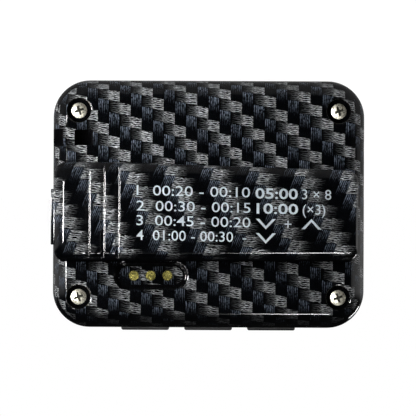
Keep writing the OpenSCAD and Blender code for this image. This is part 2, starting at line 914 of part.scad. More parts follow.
module lcd_frame() {
    inner_w = glass_w + 2 * glass_gap;
    inner_h = glass_h + 2 * glass_gap;
    color("#dadcd8")
        difference() {
            display_block(inner_w + 2 * frame_wall, inner_h + 2 * frame_wall, front_in, board_y);
            display_block(inner_w, inner_h, front_in - over, board_y + over);
        }
}

module main_board() {
    color("#1f5a34")
        difference() {
            block([-board_w / 2, board_w / 2], [board_y, board_back], [board_foot, board_top]);
            for (place = board_screw_places)
                rod(place, board_shank_d + 2 * hole_gap, board_y - over, board_back + over);
        }
}

module board_screws() {
    color("#b8b4a8")
        for (place = board_screw_places)
            difference() {
                union() {
                    rod(place, board_head_d, board_back, board_back + board_head_h);
                    rod(place, board_shank_d, board_back - board_shank_len, board_back);
                }
                for (turn = [0, 90])
                    translate([place[0], board_back + board_head_h, place[1]])
                        rotate([0, turn, 0])
                            cube([board_head_d * 0.6, board_head_h, slot_w], center = true);
            }
}

// Main chip, with legs along its four sides
module microcontroller() {
    leg_w = 0.3;
    leg_in = 0.4;
    leg_out = 0.9;
    leg_t = 0.2;
    step = (chip_w - 1) / (chip_legs - 1);
    translate([chip_x, board_back, board_foot + chip_up]) {
        color("#202225")
            block([-chip_w / 2, chip_w / 2], [leg_t, chip_t], [-chip_w / 2, chip_w / 2]);
        color("#c8c8c4")
            for (turn = [0, 90, 180, 270], i = [0:chip_legs - 1])
                rotate([0, turn, 0])
                    translate([-(chip_w - 1) / 2 + i * step - leg_w / 2, 0, chip_w / 2 - leg_in])
                        cube([leg_w, leg_t, leg_out + leg_in]);
    }
}

// Crystal can that lies on the board, with two flat legs
module timing_crystal() {
    lift = 0.05;
    leg = [1.2, 0.3];
    leg_apart = 0.8;
    color("#c9cbce")
        translate([crystal_x, board_back, board_top - crystal_down]) {
            translate([0, crystal_d / 2 + lift, 0])
                rotate([0, 90, 0])
                    cylinder(d = crystal_d, h = crystal_len);
            for (side = [-1, 1])
                block([-leg[0], lift], [0, crystal_d / 2 + lift],
                    [(side * leg_apart - leg[1]) / 2, (side * leg_apart + leg[1]) / 2]);
        }
}

// Small resistors and capacitors in three short rows
module board_passives() {
    rows = 3;
    columns = 5;
    color("#8a6a46")
        for (row = [0:rows - 1], i = [0:columns - 1])
            translate([passive_x + i * passive_step[0], board_back,
                board_top - passive_down + row * passive_step[1]])
                cube(passive_size);
}

module charge_controller() {
    color("#222428")
        translate([motor_x0, board_back, motor_z + motor_d / 2 + boot_side + charger_over_motor])
            cube(charger_size);
}

// Three side-push switches along the board's top edge
module switch_housings() {
    side_gap = 0.05;
    color("#2b2d31")
        for (x = button_places)
            difference() {
                block([x - switch_w / 2, x + switch_w / 2], [board_y - switch_d, board_y],
                    [switch_z, board_top]);
                block([x - plunger_w / 2 - side_gap, x + plunger_w / 2 + side_gap],
                    [button_y - plunger_d / 2 - side_gap, button_y + plunger_d / 2 + side_gap],
                    [board_top - plunger_in - button_travel - plunger_gap, board_top + over]);
            }
}

// Push button: a cap through the case, a flange under the wall and a stem
module button(x) {
    cap_x = [x - button_w / 2, x + button_w / 2];
    cap_y = [button_y - button_d / 2, button_y + button_d / 2];
    cap_top = body_h + button_rise;
    color("#141517") {
        intersection() {
            slab(cap_y[0], cap_y[1])
                round_topped(cap_x, [flange_z, cap_top], button_r);
            translate([cap_x[0], 0, 0])
                rotate([90, 0, 90])
                    linear_extrude(button_w)
                        round_topped(cap_y, [flange_z, cap_top], button_r);
        }
        block([cap_x[0] - flange_side, cap_x[1] + flange_side],
            [cap_y[0] - flange_lap, cap_y[1] + flange_lap], [flange_z, flange_top]);
        block([x - stem_w / 2, x + stem_w / 2], [button_y - stem_d / 2, button_y + stem_d / 2],
            [flange_z - stem_drop, flange_z]);
    }
}

// Rectangle whose two upper corners are round
module round_topped(x, z, r) {
    translate([x[0], z[0]])
        square([x[1] - x[0], z[1] - z[0] - r]);
    translate([x[0] + r, z[0]])
        square([x[1] - x[0] - 2 * r, z[1] - z[0]]);
    for (cx = [x[0] + r, x[1] - r])
        translate([cx, z[1] - r])
            circle(r);
}

module button_down() {
    button(button_places[0]);
}

module button_start() {
    button(button_places[1]);
}

module button_up() {
    button(button_places[2]);
}

// Plunger of a switch, pushed by the button's stem
module plunger(x) {
    color("#c7b79a")
        block([x - plunger_w / 2, x + plunger_w / 2],
            [button_y - plunger_d / 2, button_y + plunger_d / 2],
            [board_top - plunger_in, board_top + plunger_out]);
}

module plunger_down() {
    plunger(button_places[0]);
}

module plunger_start() {
    plunger(button_places[1]);
}

module plunger_up() {
    plunger(button_places[2]);
}

module buzzer_disc() {
    color("#c9a24a")
        rod([disc_x, disc_z], disc_d, back_in - disc_t, back_in);
}

module buzzer_ceramic() {
    color("#d9d6cc")
        rod([disc_x, disc_z], ceramic_d, back_in - disc_t - ceramic_t, back_in - disc_t);
}

// Sweeps a round wire along a list of points
module tube(path, d, sides) {
    last = len(path) - 1;
    tangents = [for (i = [0:last]) unit(path[min(i + 1, last)] - path[max(i - 1, 0)])];
    frames = carried(tangents, [first_side(tangents[0])], 1);
    points = [for (i = [0:last], k = [0:sides - 1])
        let (u = frames[i], v = cross(tangents[i], u), a = 360 * k / sides)
            path[i] + d / 2 * (cos(a) * u + sin(a) * v)];
    walls = [for (i = [0:last - 1], k = [0:sides - 1])
        let (a = i * sides + k, b = i * sides + (k + 1) % sides)
            each [[a, a + sides, b], [b, a + sides, b + sides]]];
    caps = [for (k = [1:sides - 2])
        each [[0, k, k + 1], [last * sides, last * sides + k + 1, last * sides + k]]];
    polyhedron(points, concat(walls, caps));
}

function unit(v) = v / norm(v);
function first_side(t) = unit(cross(t, abs(t[2]) < 0.9 ? [0, 0, 1] : [1, 0, 0]));
// Side directions carried along the wire without twist
function carried(tangents, sides, i) = i >= len(tangents) ? sides
    : carried(tangents, concat(sides,
        [unit(sides[i - 1] - tangents[i] * (sides[i - 1] * tangents[i]))]), i + 1);
// A soft bend through three points: a quadratic curve in equal steps
function bend(a, b, c, steps) = [for (i = [0:steps])
    let (t = i / steps) (1 - t) * (1 - t) * a + 2 * t * (1 - t) * b + t * t * c];

// A lead that runs straight from corner to corner, with a soft bend at each
module lead(corners) {
    last = len(corners) - 1;
    bends = [for (i = [1:last - 1])
        let (before = unit(corners[i - 1] - corners[i]), after = unit(corners[i + 1] - corners[i]))
            each bend(corners[i] + bend_r * before, corners[i], corners[i] + bend_r * after, bend_steps)];
    tube(concat([corners[0]], bends, [corners[last]]), lead_d, lead_sides);
}

module buzzer_leads() {
    y0 = back_in - disc_t - ceramic_t - lead_d / 2;
    z1 = disc_z + buzzer_lead_reach;
    for (i = [0, 1]) {
        x = disc_x + buzzer_lead_apart * i;
        color(i == 0 ? "#a02020" : "#202020")
            lead([[x, y0, disc_z], [x, y0, z1], [x, board_back, z1]]);
    }
}

module motor_can() {
    color("#c4c6c8")
        translate([motor_x0, motor_y, motor_z])
            rotate([0, 90, 0])
                cylinder(d = motor_d, h = motor_len);
}

module motor_shaft() {
    color("#d6d6d6")
        translate([motor_x1, motor_y, motor_z])
            rotate([0, 90, 0])
                cylinder(d = shaft_d, h = shaft_len);
}

// Half-round weight, off centre on the shaft
module motor_weight() {
    hub_d = shaft_d + 2 * hub_wall;
    color("#8f8a80")
        translate([motor_x1 + weight_gap, motor_y, motor_z])
            rotate([90, 0, 90])
                linear_extrude(weight_len)
                    difference() {
                        union() {
                            intersection() {
                                circle(weight_r);
                                translate([-weight_r, -weight_r])
                                    square([2 * weight_r, weight_r]);
                            }
                            circle(d = hub_d);
                        }
                        circle(d = shaft_d + 2 * seat_gap);
                    }
}

// Rubber boot between the motor and the rear cover
module motor_boot() {
    half = motor_d / 2 + boot_side;
    color("#2c2e30")
        difference() {
            block([motor_x0 + boot_inset, motor_x1 - boot_inset], [motor_y - half, back_in],
                [motor_z - half, motor_z + half]);
            translate([motor_x0 - over, motor_y, motor_z])
                rotate([0, 90, 0])
                    cylinder(d = motor_d + 2 * boot_gap, h = motor_len + 2 * over);
        }
}

module motor_leads() {
    x1 = motor_x0 - motor_lead_reach;
    for (side = [-1, 1])
        color(side < 0 ? "#2040a0" : "#a02020")
            lead([[motor_x0, motor_y, motor_z + side], [x1, motor_y, motor_z + side],
                [x1, board_back, motor_z + side]]);
}

// Soft pouch with a folded edge along each side
module battery_pouch() {
    x = [battery_x, battery_x + battery_w];
    z = [battery_z, battery_z + battery_h];
    mid = (battery_y + battery_back) / 2;
    color("#a7abb0")
        hull() {
            block([x[0] + battery_r, x[1] - battery_r], [battery_y, battery_back],
                [z[0] + battery_r, z[1] - battery_r]);
            block([x[0], x[1]], [mid - battery_t / 4, mid + battery_t / 4], [z[0], z[1]]);
        }
}

module battery_tape() {
    margin = 2;
    color("#e6e2da")
        block([battery_x + margin, battery_x + battery_w - margin], [battery_back, back_in],
            [battery_z + margin, battery_z + battery_h - margin]);
}

// Small board at the end of the battery
module protection_board() {
    x = battery_x + battery_w;
    mid = (battery_y + battery_back) / 2;
    z = battery_z + battery_h / 2;
    color("#2a6a3a")
        block([x, x + guard_w], [mid - guard_t / 2, mid + guard_t / 2], [z - guard_h / 2, z + guard_h / 2]);
}

module battery_plug() {
    color("#ece9df")
        translate([plug_x, board_back, plug_z])
            difference() {
                cube(plug_size);
                translate([plug_wall, plug_wall, plug_wall])
                    cube([plug_size[0] - 2 * plug_wall, plug_size[1] - 2 * plug_wall, plug_size[2]]);
            }
}

module battery_leads() {
    edge = 0.3;
    plug_edge = 0.4;
    plug_pitch = 1.6;
    mid = (battery_y + battery_back) / 2;
    z0 = battery_z + battery_h / 2 + guard_h / 2;
    pitch = guard_w - lead_d - 2 * edge;
    plug_y = board_back + plug_size[1] / 2;
    for (i = [0, 1]) {
        x = battery_x + battery_w + edge + lead_d / 2 + i * pitch;
        z = plug_z + lead_d / 2 + plug_edge + i * plug_pitch;
        color(i == 0 ? "#a02020" : "#202020")
            lead([[x, mid, z0], [x, mid, z], [x, plug_y, z], [plug_x + plug_size[0], plug_y, z]]);
    }
}

// Small board behind the charging contacts
module contact_board() {
    y = [contact_board_y - contact_board_t, contact_board_y];
    color("#2a6a3a")
        difference() {
            block([port_cx - contact_board_w / 2, port_cx + contact_board_w / 2], y,
                [port_z - contact_board_h / 2, port_z + contact_board_h / 2]);
            for (x = contact_places)
                rod([x, port_z], contact_stem_d + 2 * seat_gap, y[0] - over, y[1] + over);
        }
}

// Gold contacts: a disc in the recess, a shoulder behind the wall and a stem in the board
module charge_contacts() {
    shoulder_d = contact_d + 0.8;
    stem_end = contact_board_y - contact_board_t - 0.3;
    color("#c9a63c")
        for (x = contact_places) {
            rod([x, port_z], contact_d, port_back, port_floor + contact_rise);
            rod([x, port_z], shoulder_d, contact_board_y, port_back);
            rod([x, port_z], contact_stem_d, stem_end, contact_board_y);
        }
}

module contact_leads() {
    y0 = contact_board_y - contact_board_t - lead_d / 2;
    z1 = port_z + contact_lead_reach;
    for (side = [-1, 1])
        color(side < 0 ? "#a02020" : "#202020") {
            x = port_cx + side * contact_pitch / 2;
            lead([[x, y0, port_z], [x, y0, z1], [x, board_back, z1]]);
        }
}

module charge_magnets() {
    color("#9aa0a6")
        for (side = [-1, 1])
            rod([port_cx + side * magnet_offset, port_z], magnet_d, back_in - magnet_t, back_in);
}

function low_edge(x) = clip_low + taper_low * max(0, x - groove_end) / (clip_x1 - groove_end);
function high_edge(x) = clip_high - taper_high * max(0, x - groove_end) / (clip_x1 - groove_end);

// Outline of the clip, drawn in by a share of the edge width
module clip_plan(share) {
    inset = edge_w * share;
    x0 = clip_x0 + press_edge * share;
    x1 = clip_x1 - mouth_edge * share;
    r = clip_corner_r - inset * corner_shrink;
    cut = cut_corner * share;
    hull() {
        for (x = [groove_end, x1 - r])
            for (z = [low_edge(x) + inset + r, high_edge(x) - inset - r])
                translate([x, z])
                    circle(r, $fn = hull_fn);
        translate([x0 + r, low_edge(x0) + inset + r + cut])
            circle(r, $fn = hull_fn);
        translate([x0 + r, high_edge(x0) - inset - r - cut])
            circle(r, $fn = hull_fn);
        translate([x0 + r + cut, low_edge(x0) + inset + r])
            circle(r, $fn = hull_fn);
        translate([x0 + r + cut, high_edge(x0) - inset - r])
            circle(r, $fn = hull_fn);
    }
}

// Plate of the clip, with its rounded edge in steps
module clip_plate() {
    thin = 0.01;
    hull() {
        slab(skirt_y, edge_y)
            clip_plan(0);
        for (a = [edge_step:edge_step:edge_max]) {
            y = edge_y + edge_drop * sin(a) / sin(edge_max);
            slab(y - thin, y)
                clip_plan((1 - cos(a)) / (1 - cos(edge_max)));
        }
    }
}

module thumb_groove(i) {
    x = clip_x0 + groove_start + i * groove_pitch;
    flank = 0.2;
    tall(clip_low - over, clip_high + over)
        polygon([[x - groove_w / 2, clip_top - groove_depth],
            [x + groove_w / 2 - flank, clip_top - groove_depth],
            [x + groove_w / 2, clip_top + over], [x - groove_w / 2 - flank, clip_top + over]]);
}

// Lug that holds one end of the pin
module clip_lug(side) {
    z0 = side < 0 ? -lug_outer : lug_inner;
    spread = 3.6;
    tall(clip_z + z0, clip_z + z0 + lug_t) {
        translate([hinge_x, hinge_y])
            circle(lug_r);
        polygon([[hinge_x - lug_r, hinge_y], [hinge_x + lug_r, hinge_y],
            [hinge_x + spread, clip_under + seat_gap], [hinge_x - spread, clip_under + seat_gap]]);
    }
}

module clip_tooth() {
    tip = back_y + tooth_gap + tooth_r;
    tall(clip_z - tooth_w / 2, clip_z + tooth_w / 2) {
        translate([tooth_x, tip])
            circle(tooth_r);
        polygon([[tooth_x - tooth_r, tip], [tooth_x + tooth_r, tip],
            [tooth_x + tooth_t / 2, clip_under + seat_gap],
            [tooth_x - tooth_t / 2, clip_under + seat_gap]]);
    }
}

// Belt clip: a press lever with a hollow underside
module clip_lever() {
    hollow_x = [clip_x0 + skirt_t, clip_x1 - skirt_t];
    catch_y = [skirt_y + 0.3, edge_y + 0.4];
    catch_z = clip_z + 1;
    color("#1b1d20")
        difference() {
            union() {
                difference() {
                    union() {
                        clip_plate();
                        block([clip_x0 - catch_len, clip_x0 + skirt_t], catch_y,
                            [catch_z - catch_w / 2, catch_z + catch_w / 2]);
                    }
                    block(hollow_x, [skirt_y - over, clip_under],
                        [clip_low + taper_low + skirt_t, clip_high - taper_high - skirt_t]);
                }
                for (side = [-1, 1])
                    clip_lug(side);
                clip_tooth();
            }
            for (i = [0:groove_count - 1])
                thumb_groove(i);
            translate([hinge_x, hinge_y, clip_low - over])
                cylinder(d = pin_d + 2 * press_fit, h = clip_w + 2 * over);
        }
}

module clip_pin() {
    color("#b9bcc0")
        translate([hinge_x, hinge_y, clip_z - lug_outer + pin_inset])
            cylinder(d = pin_d, h = 2 * (lug_outer - pin_inset));
}

// Torsion spring: one leg on the case, a coil round the pin, one leg under the clip
coil_points = [for (i = [0:(coil_turns + 0.5) * ring_steps])
    let (a = -90 + 360 * i / ring_steps)
        [hinge_x + coil_d / 2 * cos(a), hinge_y + coil_d / 2 * sin(a),
            clip_z - coil_len / 2 + coil_pitch * i / ring_steps]];
spring_path = concat(
    [[hinge_x - leg_len, back_y + wire_d / 2 + leg_gap, clip_z - coil_len / 2]],
    coil_points,
    [[hinge_x - leg_len, clip_under - wire_d / 2 - leg_gap, clip_z + coil_len / 2]]);
turn_gap = min([for (i = [0:len(coil_points) - 1], j = [0:len(coil_points) - 1])
    if (j - i >= ring_steps / 2) norm(coil_points[i] - coil_points[j])]) - wire_d;
echo("least gap between the spring's turns", turn_gap);

module clip_spring() {
    color("#d0d2d4")
        tube(spring_path, wire_d, wire_sides);
}

front_shell();
rear_cover();
case_seal();
case_screws();
display_lens();
lens_tape();
lcd_polarisers();
lcd_glass();
lcd_segments();
backlight_panel();
zebra_strips();
lcd_frame();
main_board();
board_screws();
microcontroller();
timing_crystal();
board_passives();
charge_controller();
switch_housings();
button_down();
button_start();
button_up();
plunger_down();
plunger_start();
plunger_up();
buzzer_disc();
buzzer_ceramic();
buzzer_leads();
motor_can();
motor_shaft();
motor_weight();
motor_boot();
motor_leads();
battery_pouch();
battery_tape();
protection_board();
battery_plug();
battery_leads();
contact_board();
charge_contacts();
contact_leads();
charge_magnets();
clip_lever();
clip_pin();
clip_spring();
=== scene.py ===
# Clip-on interval timer: finishes, print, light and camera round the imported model.
# Everything is in metres in the model's own frame: +Z up to the buttons, -Y to the display,
# +Y to the belt clip. Sizes are named in millimetres and turned into metres where they are used.
import json
import math

import bmesh
import bpy
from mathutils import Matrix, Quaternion, Vector

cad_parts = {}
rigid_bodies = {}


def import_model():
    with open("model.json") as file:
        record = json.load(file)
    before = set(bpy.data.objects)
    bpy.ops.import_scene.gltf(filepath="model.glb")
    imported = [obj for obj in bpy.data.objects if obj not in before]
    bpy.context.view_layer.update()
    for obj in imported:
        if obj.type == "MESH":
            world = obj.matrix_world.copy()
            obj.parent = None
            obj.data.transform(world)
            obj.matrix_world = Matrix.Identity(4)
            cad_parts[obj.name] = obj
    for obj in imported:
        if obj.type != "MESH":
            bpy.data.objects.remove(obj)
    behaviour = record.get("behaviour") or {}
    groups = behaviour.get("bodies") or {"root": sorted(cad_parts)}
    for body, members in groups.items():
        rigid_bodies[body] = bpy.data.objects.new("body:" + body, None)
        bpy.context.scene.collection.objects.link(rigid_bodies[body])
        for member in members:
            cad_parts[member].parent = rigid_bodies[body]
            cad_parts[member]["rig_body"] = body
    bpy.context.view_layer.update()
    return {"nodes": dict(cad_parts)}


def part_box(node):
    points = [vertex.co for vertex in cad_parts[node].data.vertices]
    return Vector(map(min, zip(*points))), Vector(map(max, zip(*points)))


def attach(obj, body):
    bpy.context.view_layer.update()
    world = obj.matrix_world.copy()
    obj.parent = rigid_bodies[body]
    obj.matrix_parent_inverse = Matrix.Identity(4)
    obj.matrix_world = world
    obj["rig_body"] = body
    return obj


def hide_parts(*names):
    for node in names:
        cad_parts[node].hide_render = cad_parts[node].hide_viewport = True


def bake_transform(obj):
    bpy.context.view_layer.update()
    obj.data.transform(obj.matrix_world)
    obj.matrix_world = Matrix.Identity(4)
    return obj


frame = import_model()
nodes = frame["nodes"]
scene = bpy.context.scene
MM = 0.001

# The case: half its width, the middle of its height, and its front and back faces
HALF_W = 32.0
MID_Z = 25.4
BACK_Y = 7.5
FRONT_Y = -7.5
# Where the rims start to fall away, from the middle of the case
RIM_X = 27.5
RIM_UP = 20.9
# What counts as the outer wall: this far in from the ends and from the top and bottom
OUTSIDE_X = 4.5
OUTSIDE_Z = 1.2
# Inner face of the back
BACK_IN = 5.9
# How far in from the sides the inside begins
WALL = 0.95
# Case screws, from the middle of the case, the radius of their counterbores, and how near to that
# radius the edges of a counterbore lie
SCREW_X = 26.6
SCREW_UP = 19.1
COUNTERBORE_R = 2.5
COUNTERBORE_EDGE = 0.2
# Lanyard eye in the back, the slope that leads into it, and the edges of that slope: the middle
# along X, half the size along X and Z, and how far below the back they are looked for
EYE_X = -28.6
EYE_Z = 11.9
EYE_HALF = (4.2, 1.78)
EYE_DEPTH = 0.4
SLOPE_X = -24.05
SLOPE_HALF = (0.75, 1.66)
SLOPE_EDGE_X = -24.2
SLOPE_EDGE_HALF = (0.8, 2.1)
SLOPE_EDGE_DEPTH = 1.0
# Charging recess: its middle, half the straight part between its round ends, the black band round
# it as a radius and half a width, bare plastic on the wall with painted shade on the floor at the
# foot of the wall, and where its edges are looked for
RECESS_X = -11.8
RECESS_Z = 40.1
RECESS_RUN = 4.75
RECESS_BAND = (2.37, 0.52)
RECESS_EDGE_R = (2.0, 3.0)
RECESS_EDGE_DEPTH = 1.25
# The clip: the middle of its width, its outer face, where its long sides start to fall away and
# where they end, the lower edge of its printed film, and the band on the button side that is painted
# black as shade
CLIP_Z = 27.1
CLIP_TOP = 14.7
CLIP_SIDES = (8.3, 10.2)
FILM_Y = 11.8
BUTTON_SIDE_SHADE = (36.2, 36.8)
# How far a face lies behind its neighbour before it counts as another face; more at the screws
# and on the front, less at the charging recess
STEP = 0.03
SCREW_STEP = 0.05
RECESS_STEP = 0.02
FRONT_STEP = 0.12


# Shader maths
class Term:
    """A value in a shader, with arithmetic."""

    def __init__(self, graph, socket):
        self.graph = graph
        self.socket = socket

    def __add__(self, other):
        return self.graph.math("ADD", self, other)

    def __sub__(self, other):
        return self.graph.math("SUBTRACT", self, other)

    def __rsub__(self, other):
        return self.graph.math("SUBTRACT", other, self)

    def __mul__(self, other):
        return self.graph.math("MULTIPLY", self, other)

    def __truediv__(self, other):
        return self.graph.math("DIVIDE", self, other)

    __radd__ = __add__
    __rmul__ = __mul__


class Graph:
    """The nodes of one material or of the world."""

    def __init__(self, owner):
        owner.use_nodes = True
        self.owner = owner
        self.tree = owner.node_tree
        self.tree.nodes.clear()

    def node(self, kind, inputs=None, **settings):
        made = self.tree.nodes.new("ShaderNode" + kind)
        for key, value in settings.items():
            setattr(made, key, value)
        for key, value in (inputs or {}).items():
            self.put(made.inputs[key], value)
        return made

    def put(self, socket, value):
        if isinstance(value, Term):
            self.tree.links.new(value.socket, socket)
        elif value is not None:
            socket.default_value = value

    def math(self, operation, *values):
        made = self.node("Math", operation=operation)
        for socket, value in zip(made.inputs, values):
            self.put(socket, value)
        return Term(self, made.outputs[0])

    def vectors(self, operation, first, second):
        made = self.node("VectorMath", {0: first, 1: second}, operation=operation)
        return Term(self, made.outputs[0])

    def split(self, vector):
        parts = self.node("SeparateXYZ", {0: vector}).outputs
        return [Term(self, part) for part in parts]

    def position(self):
        """X, Y and Z on the piece at rest, in millimetres."""
        place = self.node("TexCoord").outputs["Object"]
        return [part * (1 / MM) for part in self.split(Term(self, place))]

    def noise(self, x, y, z, detail=2.0, roughness=0.5):
        place = Term(self, self.node("CombineXYZ", {0: x, 1: y, 2: z}).outputs[0])
        made = self.node("TexNoise", {"Vector": place, "Scale": 1.0, "Detail": detail,
            "Roughness": roughness})
        return Term(self, made.outputs[0])

    def smooth(self, value, low, high, start=0.0, end=1.0):
        """From start to end, in an even curve, while the value goes from low to high."""
        made = self.node("MapRange", {"Value": value, "From Min": low, "From Max": high,
            "To Min": start, "To Max": end}, interpolation_type="SMOOTHSTEP")
        return Term(self, made.outputs[0])

    def size(self, value):
        return self.math("ABSOLUTE", value)

    def larger(self, first, second):
        return self.math("MAXIMUM", first, second)

    def length(self, first, second):
        return self.math("SQRT", first * first + second * second)

    def below(self, value, limit):
        return self.math("LESS_THAN", value, limit)

    def above(self, value, limit):
        return self.math("GREATER_THAN", value, limit)

    def within(self, value, middle, half):
        return self.below(self.size(value - middle), half)

    def mix(self, share, first, second):
        made = self.node("Mix", data_type="RGBA")
        self.put(made.inputs[0], share)
        self.put(made.inputs[6], first)
        self.put(made.inputs[7], second)
        return Term(self, made.outputs[2])

    def bump(self, height, depth, strength=1.0):
        made = self.node("Bump", {"Strength": strength, "Distance": depth, "Height": height})
        return Term(self, made.outputs[0])

    def blend(self, share, first, second):
        """One shader over another."""
        both = self.node("MixShader", {0: share})
        self.tree.links.new(first.outputs[0], both.inputs[1])
        self.tree.links.new(second.outputs[0], both.inputs[2])
        return both

    def surface(self, shader):
        out = self.node("OutputMaterial")
        self.tree.links.new(shader.outputs[0], out.inputs["Surface"])
        return self.owner


def new_graph(name):
    return Graph(bpy.data.materials.new(name))


def rgba(r, g, b):
    return (r, g, b, 1.0)


def stripes(g, phase, sharp):
    """Soft lines, one to a whole step of the phase."""
    wave = g.math("SINE", phase * (2 * math.pi)) * 0.5 + 0.5
    return g.math("POWER", wave, sharp)


# Carbon weave print
# Strands in a tow, how narrow they are, their brightness, the brightness between them, and what
# is left of it at the dark end of a float
WEFT_STRANDS = 5.8
WEFT_SHARP = 4.4
WEFT_BRIGHT = 1.03
WEFT_DARK = 0.003
WEFT_END = 0.006
WARP_STRANDS = 6.2
WARP_SHARP = 1.8
WARP_BRIGHT = 0.42
WARP_DARK = 0.004
WARP_END = 0.015
# The dark gap beside a tow, as a share of the tow
WEFT_GAP = 0.07
WARP_GAP = 0.08
# Tints of the two sorts of float, of the gaps, and of the bare plastic, which also serves as black
# painted shade
WEFT_TINT = (0.97, 1.0, 1.03)
WARP_TINT = (0.80, 0.96, 1.24)
GAP_COLOUR = (0.0006, 0.0008, 0.0013)
BARE_AND_SHADE_COLOUR = rgba(0.0025, 0.0025, 0.003)
# Share of the lacquer that is missing on the bare plastic and on the black painted shade
CASE_DULLED = 0.2
CLIP_DULLED = 1.0
# Widths of the tows on the case and on the clip, how much they lean, and where the first one
# starts: in millimetres on the case, in tows on the clip
CASE_WARP = 2.29
CASE_WEFT = 2.375
CASE_WEFT_LEAN = 0.186
CASE_START = (0.18, 8.087)
CLIP_WARP = 2.385
CLIP_WEFT = 2.57
CLIP_WARP_LEAN = 0.40
CLIP_WEFT_LEAN = 0.098
CLIP_START = (7.522, 6.979)
# How fast the tows of the case crowd together along X
CROWDING = 0.00068
# Painted light and shade on the print, as changes of its tone along an axis: axis, from, to, tone
# before, tone after
BACK_PAINTED_SHADING = (
    ("z", 20.0, 44.0, 1.0, 0.62),
    ("z", 46.6, 48.6, 1.0, 0.16),
    ("x", 28.8, 30.0, 1.0, 1.6),
    ("x", -30.0, -28.8, 0.9, 1.0),
)
# Painted shade on the clip's print: near black at its long edge on the button side, darker at its other
# long edge and at its left end, and darker towards the buttons
CLIP_PAINTED_SHADING = (
    ("z", 35.0, 35.9, 0.95, 0.10),
    ("z", 17.4, 19.2, 0.7, 1.0),
    ("x", -31.0, -12.0, 0.6, 1.0),
    ("z", 20.0, 35.0, 1.05, 0.85),
)
# The darker field under the numbers: where it fades in and out, and how much darker it is
FIELD_FADES = (
    ("x", -17.5, -14.5, 0.0, 1.0),
    ("x", 24.0, 26.5, 1.0, 0.0),
    ("z", 19.5, 22.0, 0.0, 1.0),
    ("z", 33.5, 35.0, 1.0, 0.0),
)
FIELD_DARKER = 0.42


def faded(g, x, z, fades):
    """The product of several changes along X and Z."""
    print_tone_and_shading = 1.0
    for axis, low, high, start, end in fades:
        print_tone_and_shading = g.smooth(x if axis == "x" else z, low, high, start, end) * print_tone_and_shading
    return print_tone_and_shading


def twill(g, warps, wefts, first, mirrored):
    """A printed two over two twill; warps and wefts count the tows.
    Returns the brightness of the grey weft floats and of the blue-black warp floats."""
    column = g.math("FLOOR", warps)
    row = g.math("FLOOR", wefts)
    in_warp = warps - column
    in_weft = wefts - row
    step = g.math("FLOORED_MODULO", row - column + first, 4.0)
    is_weft = g.below(step, 1.5)
    half = (in_warp + g.below(step, 0.5)) * 0.5
    along = 1.0 - half if mirrored else half
    down = (in_weft + g.above(step, 2.5)) * 0.5

    # Two families of fine strands that cross at a small angle, broken up here and there
    speck = g.smooth(g.noise(warps * 5.0, wefts * 22.0, 6.0), 0.3, 0.7, 0.5, 1.35)
    wander = g.noise(warps * 1.5, wefts * 3.2, (column * 3.7 + row * 9.1) * 0.05)
    strand = in_weft * WEFT_STRANDS
    falling = stripes(g, strand + in_warp * 0.9 + wander * 1.3, WEFT_SHARP)
    rising = stripes(g, strand - in_warp * 0.45 + wander * 2.2 + 0.3, WEFT_SHARP)
    broken = g.smooth(g.noise(warps * 2.4, wefts * 7.0, 3.0), 0.4, 0.6)
    strands = g.larger(falling * (1.0 - broken * 0.8), rising * (broken * 0.8 + 0.2))
    rise = g.smooth(along, 0.0, 0.5) * 0.28 + g.smooth(along, 0.4, 0.6) * 0.72
    edge = g.smooth(in_weft, 0.0, WEFT_GAP) * g.smooth(in_weft, 1.0 - WEFT_GAP, 1.0, 1.0, 0.0)
    weft_light = (strands * speck * WEFT_BRIGHT + WEFT_DARK) * (rise * (1.0 - WEFT_END) + WEFT_END)

    # Dashed threads that fade along the float
    thread_shift = g.noise(warps * 5.0, wefts * 1.2, 8.0)
    thread = stripes(g, in_warp * WARP_STRANDS + thread_shift, WARP_SHARP)
    dashes = g.smooth(g.noise(warps * 12.0, wefts * 5.0, 1.5, 3.0), 0.34, 0.66)
    fade = g.smooth(down, 0.0, 0.82, 1.0, 0.0)
    side = g.smooth(in_warp, 0.0, WARP_GAP) * g.smooth(in_warp, 1.0 - WARP_GAP, 1.0, 1.0, 0.0)
    warp_light = (thread * dashes * WARP_BRIGHT + WARP_DARK) * (fade * fade * (1.0 - WARP_END) + WARP_END)
    return weft_light * edge * is_weft, warp_light * side * (1.0 - is_weft)


def print_shader(g, lights, bare_and_shade, print_tone_and_shading, dulled):
    """Glossy lacquer over the printed weave. Bare_and_shade marks the unprinted black plastic and the
    places painted black as shade, print_tone_and_shading scales the print and carries painted light
    and shade, and dulled is the share of the lacquer that is missing there."""
    x, y, z = g.position()
    haze = g.noise(x * 0.11, y * 0.11, z * 0.11)
    # The level is random haze times the print's tone, including the painted light and shade passed in
    level = g.smooth(haze, 0.3, 0.7, 0.85, 1.2) * print_tone_and_shading
    weft = g.vectors("MULTIPLY", lights[0] * level, WEFT_TINT)
    warp = g.vectors("MULTIPLY", lights[1] * level, WARP_TINT)
    printed = g.vectors("ADD", g.vectors("ADD", weft, warp), GAP_COLOUR)
    orange_peel = g.noise(x * 1.2, y * 1.2, z * 1.2, 3.0)
    return g.surface(g.node("BsdfPrincipled", {
        "Base Color": g.mix(bare_and_shade, printed, BARE_AND_SHADE_COLOUR),
        "Roughness": g.smooth(haze, 0.3, 0.7, 0.45, 0.55),
        "Specular IOR Level": 0.0,
        "Coat Weight": 1.0 - bare_and_shade * dulled,
        "Coat Roughness": 0.09,
        "Coat IOR": 1.5,
        "Coat Normal": g.bump(orange_peel, 0.01 * MM, 0.12),
    }))


def wrapped(g, x, z, depth):
    """Where a point lies on the flat film before it was laid over the rims."""
    up = z - MID_Z
    over_x = g.smooth(g.size(x), RIM_X, HALF_W)
    over_z = g.smooth(g.size(up), RIM_UP, MID_Z)
    return x + g.math("SIGN", x) * over_x * depth, z + g.math("SIGN", up) * over_z * depth


